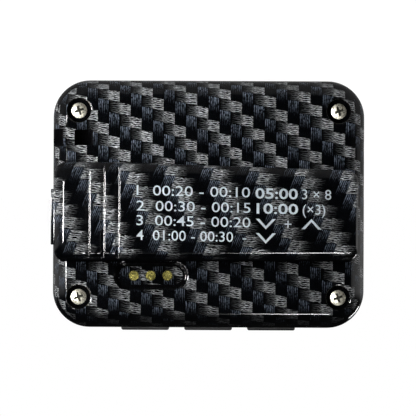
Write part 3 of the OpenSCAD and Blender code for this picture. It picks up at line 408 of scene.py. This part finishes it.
def case_weave(g, x, z, depth):
    """The weave on the case; its wefts lean a little, and its warps crowd together along X."""
    flat_x, flat_z = wrapped(g, x, z, depth)
    across = flat_x + CASE_START[0]
    warps = (across - across * across * CROWDING) / CASE_WARP
    wefts = (flat_z - flat_x * CASE_WEFT_LEAN - CASE_START[1]) / CASE_WEFT
    return twill(g, warps, wefts, 0.0, False)


def inside_case(g, x, z):
    return g.below(g.size(x), HALF_W - WALL) * g.within(z, MID_Z, MID_Z - WALL)


def screw_reach(g, x, z):
    """How far a point is from the axis of the nearest case screw."""
    return g.length(g.size(x) - SCREW_X, g.size(z - MID_Z) - SCREW_UP)


def rear_print():
    g = new_graph("rear_weave")
    x, y, z = g.position()
    inside = inside_case(g, x, z) * g.below(y, BACK_IN + STEP)
    counterbore = g.below(screw_reach(g, x, z), COUNTERBORE_R + STEP) * g.below(y, BACK_Y - SCREW_STEP)
    eye = g.within(x, EYE_X, EYE_HALF[0]) * g.within(z, EYE_Z, EYE_HALF[1])
    eye = eye * g.below(y, BACK_Y - EYE_DEPTH)
    slope = g.within(x, SLOPE_X, SLOPE_HALF[0]) * g.within(z, EYE_Z, SLOPE_HALF[1])
    slope = slope * g.below(y, BACK_Y - STEP)
    past = g.larger(g.size(x - RECESS_X) - RECESS_RUN, 0.0)
    # The recess band is bare plastic on the wall, and black painted shade on the floor at the foot of the
    # wall
    recess = g.within(g.length(past, z - RECESS_Z), *RECESS_BAND) * g.below(y, BACK_Y - RECESS_STEP)
    bare_and_shade = g.larger(g.larger(inside, counterbore), g.larger(g.larger(eye, slope), recess))
    lights = case_weave(g, x, z, BACK_Y - y)
    # Painted shade darkens the print towards the buttons and makes the bottom rim near black; painted
    # light lifts the right rim, and the left rim gets a little painted shade
    return print_shader(g, lights, bare_and_shade, faded(g, x, z, BACK_PAINTED_SHADING), CASE_DULLED)


def front_print():
    g = new_graph("front_weave")
    x, y, z = g.position()
    bare_and_shade = inside_case(g, x, z) * g.above(y, FRONT_Y + FRONT_STEP)
    return print_shader(g, case_weave(g, x, z, y - FRONT_Y), bare_and_shade, 1.0, CASE_DULLED)


def clip_print():
    g = new_graph("clip_weave")
    x, y, z = g.position()
    drop = g.larger(CLIP_TOP - y, 0.0)
    off = z - CLIP_Z
    flat_z = z + g.math("SIGN", off) * g.smooth(g.size(off), *CLIP_SIDES) * drop
    warps = (x + flat_z * CLIP_WARP_LEAN) / CLIP_WARP - CLIP_START[0]
    wefts = (flat_z - x * CLIP_WEFT_LEAN) / CLIP_WEFT - CLIP_START[1]
    # Bare below the film, and a black band of painted shade on the button side of the clip
    bare_and_shade = g.larger(g.below(y, FILM_Y), g.smooth(z, *BUTTON_SIDE_SHADE))
    # The tone is the painted shade times the darker printed field under the numbers
    print_tone_and_shading = faded(g, x, z, CLIP_PAINTED_SHADING) * (1.0 - faded(g, x, z, FIELD_FADES) * FIELD_DARKER)
    return print_shader(g, twill(g, warps, wefts, 1.0, True), bare_and_shade, print_tone_and_shading, CLIP_DULLED)


# Finishes of the other slots
# Back of the clear glass, where the grey-green field begins
FIELD_Y = -4.62
# Spacing of the copper tracks
TRACK_GRID = 1.27
# Cross recess of the case screws: its reach, the height of the head's face, how much the face
# falls away from the middle, and the depth that the grime and painted shade reach
CROSS_R = 1.15
HEAD_Y = (6.22, 6.38)
HEAD_CROWN = 0.15
CROSS_FLOOR = 5.2


def plain(name, first, second, roughness, grain=1.5, stretch=1, depth=0.02, **shader):
    """A moulded, rolled or plated finish: two tones in soft patches, and a fine grain in the surface.
    Grain is its fineness, stretch its fineness along X, and depth its height in millimetres."""
    g = new_graph(name)
    x, y, z = g.position()
    x = x * stretch
    patches = g.noise(x * 0.6, y * 0.6, z * 0.6, 4.0, 0.6)
    fine = g.noise(x * grain * 6, y * grain * 6, z * grain * 6, 3.0, 0.6)
    share = g.smooth(patches * 0.7 + fine * 0.3, 0.35, 0.65)
    inputs = {
        "Base Color": g.mix(share, rgba(*first), rgba(*second)),
        "Roughness": g.smooth(fine, 0.25, 0.75, roughness - 0.06, roughness + 0.06),
        "Normal": g.bump(fine, depth * MM),
    }
    inputs.update(shader)
    return g.surface(g.node("BsdfPrincipled", inputs))


def lens():
    """Clear acrylic. Light from the lamps goes straight through it."""
    g = new_graph("lens_acrylic")
    x, y, z = g.position()
    tint = rgba(0.93, 0.95, 0.95)
    haze = g.noise(x * 0.4, y * 0.4, z * 0.4, 3.0)
    solid = g.node("BsdfPrincipled", {
        "Base Color": tint,
        "Roughness": g.smooth(haze, 0.3, 0.7, 0.018, 0.042),
        "Transmission Weight": 1.0,
        "IOR": 1.49,
        "Specular IOR Level": 0.4,
    })
    through = g.node("BsdfTransparent", {"Color": tint})
    shadow = Term(g, g.node("LightPath").outputs["Is Shadow Ray"])
    return g.surface(g.blend(shadow, solid, through))


def display_glass():
    """Clear glass in front of the figures, and the grey-green field behind them."""
    g = new_graph("display_glass")
    x, y, z = g.position()
    fine = g.noise(x * 5, y * 5, z * 5, 3.0)
    field = g.node("BsdfPrincipled", {
        "Base Color": g.mix(g.smooth(fine, 0.3, 0.7), rgba(0.40, 0.46, 0.36), rgba(0.43, 0.49, 0.385)),
        "Roughness": 0.5,
        "Specular IOR Level": 0.2,
    })
    glass = g.node("BsdfTransparent", {"Color": rgba(0.97, 0.98, 0.97)})
    return g.surface(g.blend(g.above(y, FIELD_Y), glass, field))


def polariser():
    g = new_graph("polariser_film")
    x, y, z = g.position()
    fine = g.noise(x * 8, y * 8, z * 8)
    tint = g.mix(fine, rgba(0.80, 0.84, 0.77), rgba(0.83, 0.87, 0.80))
    return g.surface(g.node("BsdfTransparent", {"Color": tint}))


def board():
    """Solder mask over copper tracks on a fine grid."""
    g = new_graph("board_green")
    x, y, z = g.position()
    lane_x = stripes(g, x / TRACK_GRID, 9.0) * g.below(g.noise(x * 0.3, 0.0, z * 0.9, 1.0), 0.5)
    lane_z = stripes(g, z / TRACK_GRID, 9.0) * g.below(g.noise(x * 0.9, 4.0, z * 0.3, 1.0), 0.5)
    tracks = g.larger(lane_x, lane_z)
    return g.surface(g.node("BsdfPrincipled", {
        "Base Color": g.mix(tracks, rgba(0.012, 0.10, 0.035), rgba(0.03, 0.19, 0.07)),
        "Roughness": 0.35,
        "Normal": g.bump(tracks, 0.03 * MM),
    }))


def screw_nickel():
    """Warm nickel plate, with grime and painted shade darkening the cross recess of the case screws."""
    g = new_graph("screw_nickel")
    x, y, z = g.position()
    fine = g.noise(x * 12, y * 12, z * 12, 3.0, 0.6)
    worn = g.noise(x * 3.6, y * 3.6, z * 3.6, 4.0, 0.6)
    plate = g.mix(g.smooth(worn, 0.46, 0.62), rgba(0.62, 0.60, 0.50), rgba(0.17, 0.16, 0.12))
    out = screw_reach(g, x, z)
    sunk = g.smooth(y + out * out * HEAD_CROWN, HEAD_Y[0], HEAD_Y[1], 1.0, 0.0)
    sunk = sunk * g.below(out, CROSS_R) * g.above(y, CROSS_FLOOR)
    # Painted shade, with some grime: the cross recess is darkened to near black and loses its metal
    grime_and_shade = sunk * g.smooth(fine, 0.3, 0.62, 0.99, 0.86)
    return g.surface(g.node("BsdfPrincipled", {
        "Base Color": g.mix(grime_and_shade, plate, rgba(0.004, 0.0035, 0.002)),
        "Metallic": 1.0 - grime_and_shade,
        "Specular IOR Level": 0.0,
        "Roughness": g.smooth(fine, 0.25, 0.75, 0.34, 0.48) + grime_and_shade * 0.3,
        "Normal": g.bump(fine, 0.02 * MM, 0.3),
    }))


METAL = {"Metallic": 1.0}
finishes = {
    "screw_nickel": screw_nickel(),
    "lens_acrylic": lens(),
    "polariser_film": polariser(),
    "display_glass": display_glass(),
    "board_green": board(),
}
for name, first, second, roughness, options in (
    ("seal_rubber", (0.03, 0.032, 0.034), (0.045, 0.047, 0.05), 0.7, {}),
    ("tape_black", (0.004, 0.004, 0.0045), (0.006, 0.006, 0.0065), 0.5, {"depth": 0.0}),
    ("segment_dark", (0.012, 0.016, 0.012), (0.016, 0.02, 0.016), 0.5, {"depth": 0.0}),
    ("light_guide", (0.72, 0.76, 0.72), (0.78, 0.81, 0.77), 0.3, {}),
    ("zebra_rubber", (0.55, 0.28, 0.24), (0.62, 0.33, 0.28), 0.6, {"stretch": 4}),
    ("frame_plastic", (0.66, 0.67, 0.64), (0.71, 0.72, 0.69), 0.45, {}),
    ("chip_black", (0.012, 0.012, 0.013), (0.02, 0.02, 0.022), 0.55, {"depth": 0.04}),
    ("crystal_can", (0.74, 0.75, 0.77), (0.62, 0.63, 0.66), 0.25, METAL),
    ("passive_ceramic", (0.36, 0.22, 0.11), (0.25, 0.15, 0.08), 0.5, {}),
    ("button_black", (0.008, 0.008, 0.009), (0.013, 0.013, 0.014), 0.42,
        {"grain": 2.5, "depth": 0.03, "Specular IOR Level": 0.3}),
    ("plunger_tan", (0.52, 0.42, 0.28), (0.58, 0.47, 0.32), 0.5, {}),
    ("disc_brass", (0.80, 0.58, 0.24), (0.70, 0.48, 0.18), 0.3, METAL),
    ("ceramic_white", (0.74, 0.72, 0.66), (0.68, 0.66, 0.60), 0.5, {}),
    ("lead_sheath", (0.30, 0.02, 0.02), (0.24, 0.015, 0.015), 0.4, {}),
    ("steel_bright", (0.66, 0.67, 0.69), (0.55, 0.56, 0.58), 0.25, METAL),
    ("weight_tungsten", (0.36, 0.34, 0.31), (0.29, 0.27, 0.25), 0.45, METAL),
    ("boot_rubber", (0.02, 0.022, 0.024), (0.03, 0.032, 0.034), 0.75, {}),
    ("pouch_foil", (0.58, 0.60, 0.62), (0.50, 0.52, 0.54), 0.38, METAL),
    ("foam_tape", (0.78, 0.76, 0.70), (0.70, 0.68, 0.62), 0.8, {"depth": 0.1}),
    ("plug_nylon", (0.80, 0.78, 0.70), (0.74, 0.72, 0.64), 0.45, {}),
    ("contact_gold", (0.12, 0.106, 0.03), (0.05, 0.045, 0.012), 0.28,
        {"grain": 1.2, "depth": 0.04, "Metallic": 1.0}),
    ("magnet_nickel", (0.62, 0.62, 0.60), (0.52, 0.52, 0.50), 0.25, METAL),
    ("spring_steel", (0.58, 0.58, 0.60), (0.44, 0.44, 0.46), 0.28, METAL),
    ("ink", (0.78, 0.87, 0.92), (0.60, 0.68, 0.73), 0.5, {"grain": 3.0, "Specular IOR Level": 0.2}),
):
    finishes[name] = plain(name, first, second, roughness, **options)
weaves = {"rear_cover": rear_print(), "front_shell": front_print(), "clip_lever": clip_print()}
for name, node in nodes.items():
    for place in node.material_slots:
        place.material = weaves[name] if name in weaves else finishes[place.material.name]


# Pieces
def add_piece(name, mesh, material, body):
    piece = bpy.data.objects.new(name, mesh)
    scene.collection.objects.link(piece)
    mesh.materials.clear()
    mesh.materials.append(material)
    if body:
        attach(piece, body)
    return piece


def finished_mesh(shape, name):
    mesh = bpy.data.meshes.new(name)
    shape.to_mesh(mesh)
    shape.free()
    return mesh


# Points nearer than this are one point, in millimetres
MERGE = 0.002
# Faces that meet at less than this angle are one face, in degrees, before and after the rounding
SAME_BEFORE = 0.3
SAME_AFTER = 0.5
# The room that a rounding needs beside it, as a share of its reach
ROOM = 1.1
# A face whose normal has a part larger than this lies square to an axis
SQUARE_ON = 0.9995


def sharp_edges(shape, chosen, least, most, reach):
    """Edges in an angle range that pass the test, with room beside them for the rounding."""
    found = []
    for edge in shape.edges:
        if len(edge.link_faces) != 2 or not least < math.degrees(edge.calc_face_angle(0.0)) < most:
            continue
        neighbours = [other for vert in edge.verts for other in vert.link_edges if other is not edge]
        room = min(other.calc_length() for other in neighbours)
        if room > reach * MM * ROOM and chosen((edge.verts[0].co + edge.verts[1].co) / 2 / MM):
            found.append(edge)
    return found


def join_flat(shape, angle):
    bmesh.ops.dissolve_limit(shape, angle_limit=math.radians(angle), verts=shape.verts, edges=shape.edges)


def eased(node_name, rounds):
    """The node's own shape with its outer edges slightly rounded, as it leaves the mould."""
    node = nodes[node_name]
    shape = bmesh.new()
    shape.from_mesh(node.data)
    bmesh.ops.remove_doubles(shape, verts=shape.verts, dist=MERGE * MM)
    join_flat(shape, SAME_BEFORE)
    for chosen, least, most, reach, steps in rounds:
        edges = sharp_edges(shape, chosen, least, most, reach)
        bmesh.ops.bevel(shape, geom=edges, offset=reach * MM, segments=steps, profile=0.5,
            affect="EDGES", clamp_overlap=False, loop_slide=False)
    join_flat(shape, SAME_AFTER)
    mesh = finished_mesh(shape, node_name + "_eased")
    if "custom_normal" in mesh.attributes:
        mesh.attributes.remove(mesh.attributes["custom_normal"])
    for face in mesh.polygons:
        face.use_smooth = max(abs(part) for part in face.normal) < SQUARE_ON
    piece = add_piece(node_name + "_eased", mesh, node.material_slots[0].material, node["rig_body"])
    normal = piece.modifiers.new("normals", "WEIGHTED_NORMAL")
    normal.keep_sharp = True
    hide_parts(node_name)


def anywhere(spot):
    return True


def on_crease(spot):
    return spot.y > BACK_Y - STEP


def round_counterbore(spot):
    off = math.hypot(abs(spot.x) - SCREW_X, abs(spot.z - MID_Z) - SCREW_UP)
    return spot.y > BACK_Y - SCREW_STEP and abs(off - COUNTERBORE_R) < COUNTERBORE_EDGE


def beside_eye(spot):
    along = abs(spot.x - SLOPE_EDGE_X) < SLOPE_EDGE_HALF[0]
    across = abs(spot.z - EYE_Z) < SLOPE_EDGE_HALF[1]
    return spot.y > BACK_Y - SLOPE_EDGE_DEPTH and along and across


def round_recess(spot):
    past = max(abs(spot.x - RECESS_X) - RECESS_RUN, 0.0)
    off = math.hypot(past, spot.z - RECESS_Z)
    return spot.y > BACK_Y - RECESS_EDGE_DEPTH and RECESS_EDGE_R[0] < off < RECESS_EDGE_R[1]


def on_outside(spot):
    return abs(spot.x) > HALF_W - OUTSIDE_X or abs(spot.z - MID_Z) > MID_Z - OUTSIDE_Z


# Clip spring, in millimetres
COIL_X = -13.0
COIL_Y = 10.3
COIL_R = 1.6
COIL_Z = 23.8
COIL_TURNS = 5.5
COIL_PITCH = 1.2
COIL_STEPS = 24
COIL_END = COIL_Z + COIL_PITCH * COIL_TURNS
LEG_X = -22.0
LEG_Y_CASE = 7.88
LEG_Y_CLIP = 12.12
LEG_STEPS = 8
WIRE_R = 0.34
WIRE_SIDES = 12
# Height of the dome at each end of the wire, as a share of its radius
DOME = 0.35


def spring_path():
    """The middle of the wire: a leg on the case, the turns round the pin, and a leg under the clip."""
    points = []
    for n in range(int(COIL_TURNS * COIL_STEPS) + 1):
        angle = math.radians(-90 + 360 * n / COIL_STEPS)
        points.append(Vector((COIL_X + COIL_R * math.cos(angle), COIL_Y + COIL_R * math.sin(angle),
            COIL_Z + COIL_PITCH * n / COIL_STEPS)))
    first = Vector((LEG_X, LEG_Y_CASE, COIL_Z))
    last = Vector((LEG_X, LEG_Y_CLIP, COIL_END))
    leg_in = [first.lerp(points[0], n / LEG_STEPS) for n in range(LEG_STEPS)]
    leg_out = [points[-1].lerp(last, n / LEG_STEPS) for n in range(1, LEG_STEPS + 1)]
    return leg_in + points + leg_out


def spring_wire():
    """A round wire along the spring's path, with domed ends."""
    points = spring_path()
    shape = bmesh.new()
    rings = []
    axis = Vector((0, 0, 1))
    for n, point in enumerate(points):
        ahead = (points[min(n + 1, len(points) - 1)] - points[max(n - 1, 0)]).normalized()
        side = (axis - ahead * axis.dot(ahead)).normalized()
        other = ahead.cross(side)
        ring = []
        for k in range(WIRE_SIDES):
            turn = 2 * math.pi * k / WIRE_SIDES
            out = side * math.cos(turn) + other * math.sin(turn)
            ring.append(shape.verts.new((point + out * WIRE_R) * MM))
        rings.append(ring)
    pairs = [(k, (k + 1) % WIRE_SIDES) for k in range(WIRE_SIDES)]
    for near, far in zip(rings, rings[1:]):
        for k, after in pairs:
            shape.faces.new((near[k], near[after], far[after], far[k]))
    for ring, point, inner in ((rings[0], points[0], points[1]), (rings[-1], points[-1], points[-2])):
        tip = shape.verts.new((point + (point - inner).normalized() * WIRE_R * DOME) * MM)
        for k, after in pairs:
            shape.faces.new((ring[k], ring[after], tip))
    bmesh.ops.recalc_face_normals(shape, faces=shape.faces)
    mesh = finished_mesh(shape, "spring_wire")
    for face in mesh.polygons:
        face.use_smooth = True
    piece = add_piece("spring_wire", mesh, finishes["spring_steel"], None)
    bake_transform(piece)
    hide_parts("clip_spring")


# Print on the clip and on the front, in millimetres
# How far the ink stands off the surface
INK_RISE = 0.004
# The lines of the print climb a little to the right
PRINT_SLOPE = math.radians(1.0)
# Height of a figure in the times, and in the small counts beside them
FIGURE_H = 2.03
SMALL_H = 2.0
# Where every line starts; then each line's text, width and baseline
LINE_X = -14.563
LINES = (
    ("1  00:20 - 00:10", 22.927, 23.6346),
    ("2  00:30 - 00:15", 23.028, 26.7454),
    ("3  00:45 - 00:20", 23.028, 29.6946),
    ("4  01:00 - 00:30  -", 22.22, 32.6842),
)
# Baselines of the right-hand column; then its texts, where they start, their width and figure
# height, and whether they are bold
FIRST_ROW = 23.7558
SECOND_ROW = 26.806
COLUMN = (
    ("05:00", (9.4346, FIRST_ROW), 8.6, FIGURE_H, True),
    ("3 \u00d7 8", (18.868, FIRST_ROW), 5.9, SMALL_H, False),
    ("10:00", (9.6972, SECOND_ROW), 8.4, FIGURE_H, True),
    ("(\u00d73)", (18.9892, SECOND_ROW), 4.6, SMALL_H, False),
)
# Chevrons of the clip: their middles and which way up, then width, height and arm; the plus sign
CHEVRONS = (((11.5758, 28.9472), False), ((11.5758, 31.8358), False), ((20.8072, 28.7654), True))
CHEVRON = (4.04, 2.1, 0.62)
PLUS = (16.0602, 28.8664)
PLUS_LONG = 1.4
PLUS_THICK = 0.26
# Marks of the front: their height, the chevrons and the dot
MARK_Z = 44.6
MARK_CHEVRON = (3.0, 1.7, 0.5)
DOT_R = 0.7
DOT_SIDES = 24
# How much the outline of the letters is thickened, as a share of the font's size
BOLD = 0.018
LIGHT = 0.002


def glyph_shape(text, thickened):
    """Outline of a string as a flat mesh, with its baseline on zero."""
    data = bpy.data.curves.new("line", "FONT")
    data.body = text
    data.resolution_u = 3
    data.offset = thickened
    holder = bpy.data.objects.new("line", data)
    mesh = bpy.data.meshes.new_from_object(holder)
    bpy.data.objects.remove(holder)
    bpy.data.curves.remove(data)
    return mesh


def print_line(shape, text, start, width, high, bold=False):
    """Adds one string to the print: its left end and baseline, its width and figure height."""
    mesh = glyph_shape(text, BOLD if bold else LIGHT)
    left = min(v.co.x for v in mesh.vertices)
    right = max(v.co.x for v in mesh.vertices)
    tall = max(v.co.y for v in glyph_shape("0", LIGHT).vertices)
    made = [shape.verts.new((start[0] + (v.co.x - left) / (right - left) * width, 0,
        start[1] - v.co.y / tall * high)) for v in mesh.vertices]
    for face in mesh.polygons:
        shape.faces.new([made[i] for i in face.vertices])


def print_mark(shape, outline):
    shape.faces.new([shape.verts.new((x, 0, z)) for x, z in outline])


def chevron(middle, sizes, up):
    """A V-shaped mark as an outline; up turns its point the other way."""
    x, z = middle
    wide, high, arm = sizes
    half = wide / 2
    rise = -high / 2 if up else high / 2
    inner = rise - (-arm if up else arm)
    notch = half - arm * 1.1
    return [(x - half, z - rise), (x - notch, z - rise), (x, z + inner), (x + notch, z - rise),
        (x + half, z - rise), (x, z + rise)]


def bar(middle, wide, high):
    x, z = middle
    return [(x - wide / 2, z - high / 2), (x + wide / 2, z - high / 2),
        (x + wide / 2, z + high / 2), (x - wide / 2, z + high / 2)]


def lay_print(shape, name, body, face_y, way):
    """Lays the print on a face at face_y that looks along Y, way up."""
    for v in shape.verts:
        v.co = Vector((v.co.x, face_y + way * INK_RISE, v.co.z)) * MM
    for face in shape.faces:
        face.normal_update()
        if face.normal.y * way < 0:
            face.normal_flip()
    add_piece(name, finished_mesh(shape, name), finishes["ink"], body)


def clip_numbers():
    """Numbers of the programmes on the clip, with chevrons for the buttons."""
    shape = bmesh.new()
    for text, width, base in LINES:
        print_line(shape, text, (LINE_X, base), width, FIGURE_H)
    for text, start, width, high, bold in COLUMN:
        print_line(shape, text, start, width, high, bold)
    for middle, up in CHEVRONS:
        print_mark(shape, chevron(middle, CHEVRON, up))
    print_mark(shape, bar(PLUS, PLUS_LONG, PLUS_THICK))
    print_mark(shape, bar(PLUS, PLUS_THICK, PLUS_LONG))
    for v in shape.verts:
        v.co.z += (v.co.x - LINE_X) * math.tan(PRINT_SLOPE)
    lay_print(shape, "clip_print", "clip", CLIP_TOP, 1)


def front_marks():
    """Small marks on the front under the buttons: a chevron, a dot and a chevron."""
    shape = bmesh.new()
    for name, kind in (("button_down", "down"), ("button_start", "dot"), ("button_up", "up")):
        low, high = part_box(name)
        x = (low[0] + high[0]) / 2 / MM
        if kind == "dot":
            turns = [2 * math.pi * n / DOT_SIDES for n in range(DOT_SIDES)]
            print_mark(shape, [(x + DOT_R * math.cos(t), MARK_Z + DOT_R * math.sin(t)) for t in turns])
        else:
            print_mark(shape, chevron((x, MARK_Z), MARK_CHEVRON, kind == "down"))
    lay_print(shape, "front_print", "case", FRONT_Y, -1)


# Floor, world, lamps and camera
# Half the floor's width in metres, how far it lies below the timer in millimetres, and its colour
FLOOR_HALF = 8.0
FLOOR_DROP = 0.05
FLOOR_WHITE = 0.85
# Share of the plain white in the floor as the camera sees it; the rest takes the shadow
CAMERA_WHITE = 0.88
# The camera's distance from the middle of the case and the width that it takes in there, its
# place across and up, and its sensor, all in millimetres; its lean is in degrees
CAMERA_AWAY = 600.0
CAMERA_SEES = 86.15
CAMERA_X = -0.12
CAMERA_Z = 26.2
SENSOR = 36.0
CAMERA_LEAN = 0.25


def ray_kinds(g):
    """Two switches: 1 for rays from the camera, and 1 for rays from a reflection or through glass."""
    path = g.node("LightPath").outputs
    mirrored = g.larger(Term(g, path["Is Glossy Ray"]), Term(g, path["Is Transmission Ray"]))
    return Term(g, path["Is Camera Ray"]), mirrored


def make_floor():
    shape = bmesh.new()
    bmesh.ops.create_grid(shape, x_segments=4, y_segments=4, size=FLOOR_HALF)
    floor = bpy.data.objects.new("floor", finished_mesh(shape, "floor"))
    floor.location = (0, 0, -FLOOR_DROP * MM)
    scene.collection.objects.link(floor)
    g = new_graph("floor_white")
    x, y, z = g.position()
    camera, mirrored = ray_kinds(g)
    shine = g.smooth(g.length(x, y), 100.0, 500.0, 1.155, 1.2)
    shine = shine * (camera + mirrored * g.smooth(y, 5.0, 90.0, 0.2, 0.0))
    matt = g.node("BsdfDiffuse", {"Color": rgba(FLOOR_WHITE, FLOOR_WHITE, FLOOR_WHITE)})
    glow = g.node("Emission", {"Color": rgba(1, 1, 1), "Strength": shine})
    floor.data.materials.append(g.surface(g.blend(camera * CAMERA_WHITE + mirrored, matt, glow)))


def make_world():
    """White to the camera, dim to the surfaces, and a graded backdrop in the reflections."""
    world = bpy.data.worlds.new("studio")
    scene.world = world
    g = Graph(world)
    x, y, z = g.split(Term(g, g.node("TexCoord").outputs["Generated"]))
    camera, mirrored = ray_kinds(g)
    backdrop = g.smooth(y, -0.98, -0.45, 0.2, 1.0) * g.smooth(y, 0.3, 0.75, 1.0, 0.0)
    backdrop = backdrop * g.smooth(x, -0.5, 0.6, 0.6, 0.75) * g.smooth(z, 0.0, 0.3, 1.0, 0.03)
    ambient = g.smooth(z, -0.1, 0.75, 0.25, 0.02)
    rest = mirrored * backdrop + (1.0 - mirrored) * ambient
    strength = camera + (1.0 - camera) * rest
    back = g.node("Background", {"Color": rgba(1, 1, 1), "Strength": strength})
    out = g.node("OutputWorld")
    g.tree.links.new(back.outputs[0], out.inputs["Surface"])


def add_lamp(name, place, size, power, diffuse=True, glossy=True, roll=0.0):
    """A rectangular lamp that shines at the middle of the timer. Place and size are in metres, and
    roll turns it about its own axis, in degrees."""
    data = bpy.data.lights.new(name, "AREA")
    data.shape = "RECTANGLE"
    data.size, data.size_y = size
    data.energy = power
    lamp = bpy.data.objects.new(name, data)
    lamp.location = place
    aim = Vector((0, 0, MID_Z * MM)) - Vector(place)
    turn = Quaternion((0, 0, 1), math.radians(roll))
    lamp.rotation_euler = (aim.to_track_quat("-Z", "Y") @ turn).to_euler()
    lamp.visible_camera = False
    lamp.visible_diffuse = diffuse
    lamp.visible_glossy = glossy
    scene.collection.objects.link(lamp)


def make_camera():
    data = bpy.data.cameras.new("camera")
    data.sensor_width = SENSOR
    data.lens = SENSOR * CAMERA_AWAY / CAMERA_SEES
    data.clip_start = 0.02
    data.clip_end = 20.0
    camera = bpy.data.objects.new("camera", data)
    camera.location = (CAMERA_X * MM, CAMERA_AWAY * MM, CAMERA_Z * MM)
    camera.rotation_mode = "XYZ"
    camera.rotation_euler = (math.radians(-90), math.radians(CAMERA_LEAN), 0)
    scene.collection.objects.link(camera)
    scene.camera = camera


make_floor()
make_world()
# Keys and the fill light the surfaces; gleams show in the lacquer only
add_lamp("key_strip", (-0.53, 0.42, 0.05), (0.14, 0.09), 0.9, glossy=False)
add_lamp("near_fill", (-0.072, 0.098, 0.014), (0.05, 0.022), 0.075, glossy=False)
add_lamp("near_gleam", (-0.125, 0.187, 0.0245), (0.026, 0.044), 1.1, diffuse=False)
add_lamp("corner_gleam", (-0.19, 0.64, 0.22), (0.34, 0.03), 1.8, diffuse=False, roll=-45.0)
add_lamp("top_gleam", (0.045, 0.60, 0.30), (0.05, 0.08), 1.0, diffuse=False)
add_lamp("front_key", (0.45, -0.75, 0.16), (0.5, 0.3), 3.2, glossy=False)
add_lamp("front_gleam", (0.50, -0.62, 0.42), (0.05, 0.30), 1.2, diffuse=False)
make_camera()
scene.view_settings.view_transform = "Standard"

# Roundings: where, the least and the largest angle of the edge, reach in millimetres, and steps
eased("rear_cover", (
    (on_crease, 15, 35, 0.10, 3),
    (round_counterbore, 40, 120, 0.24, 7),
    (round_recess, 30, 120, 0.14, 5),
    (beside_eye, 30, 120, 0.22, 6),
    (on_outside, 40, 120, 0.06, 2),
))
eased("front_shell", ((on_outside, 15, 120, 0.10, 3),))
eased("clip_lever", ((anywhere, 18, 120, 0.12, 4),))
spring_wire()
clip_numbers()
front_marks()
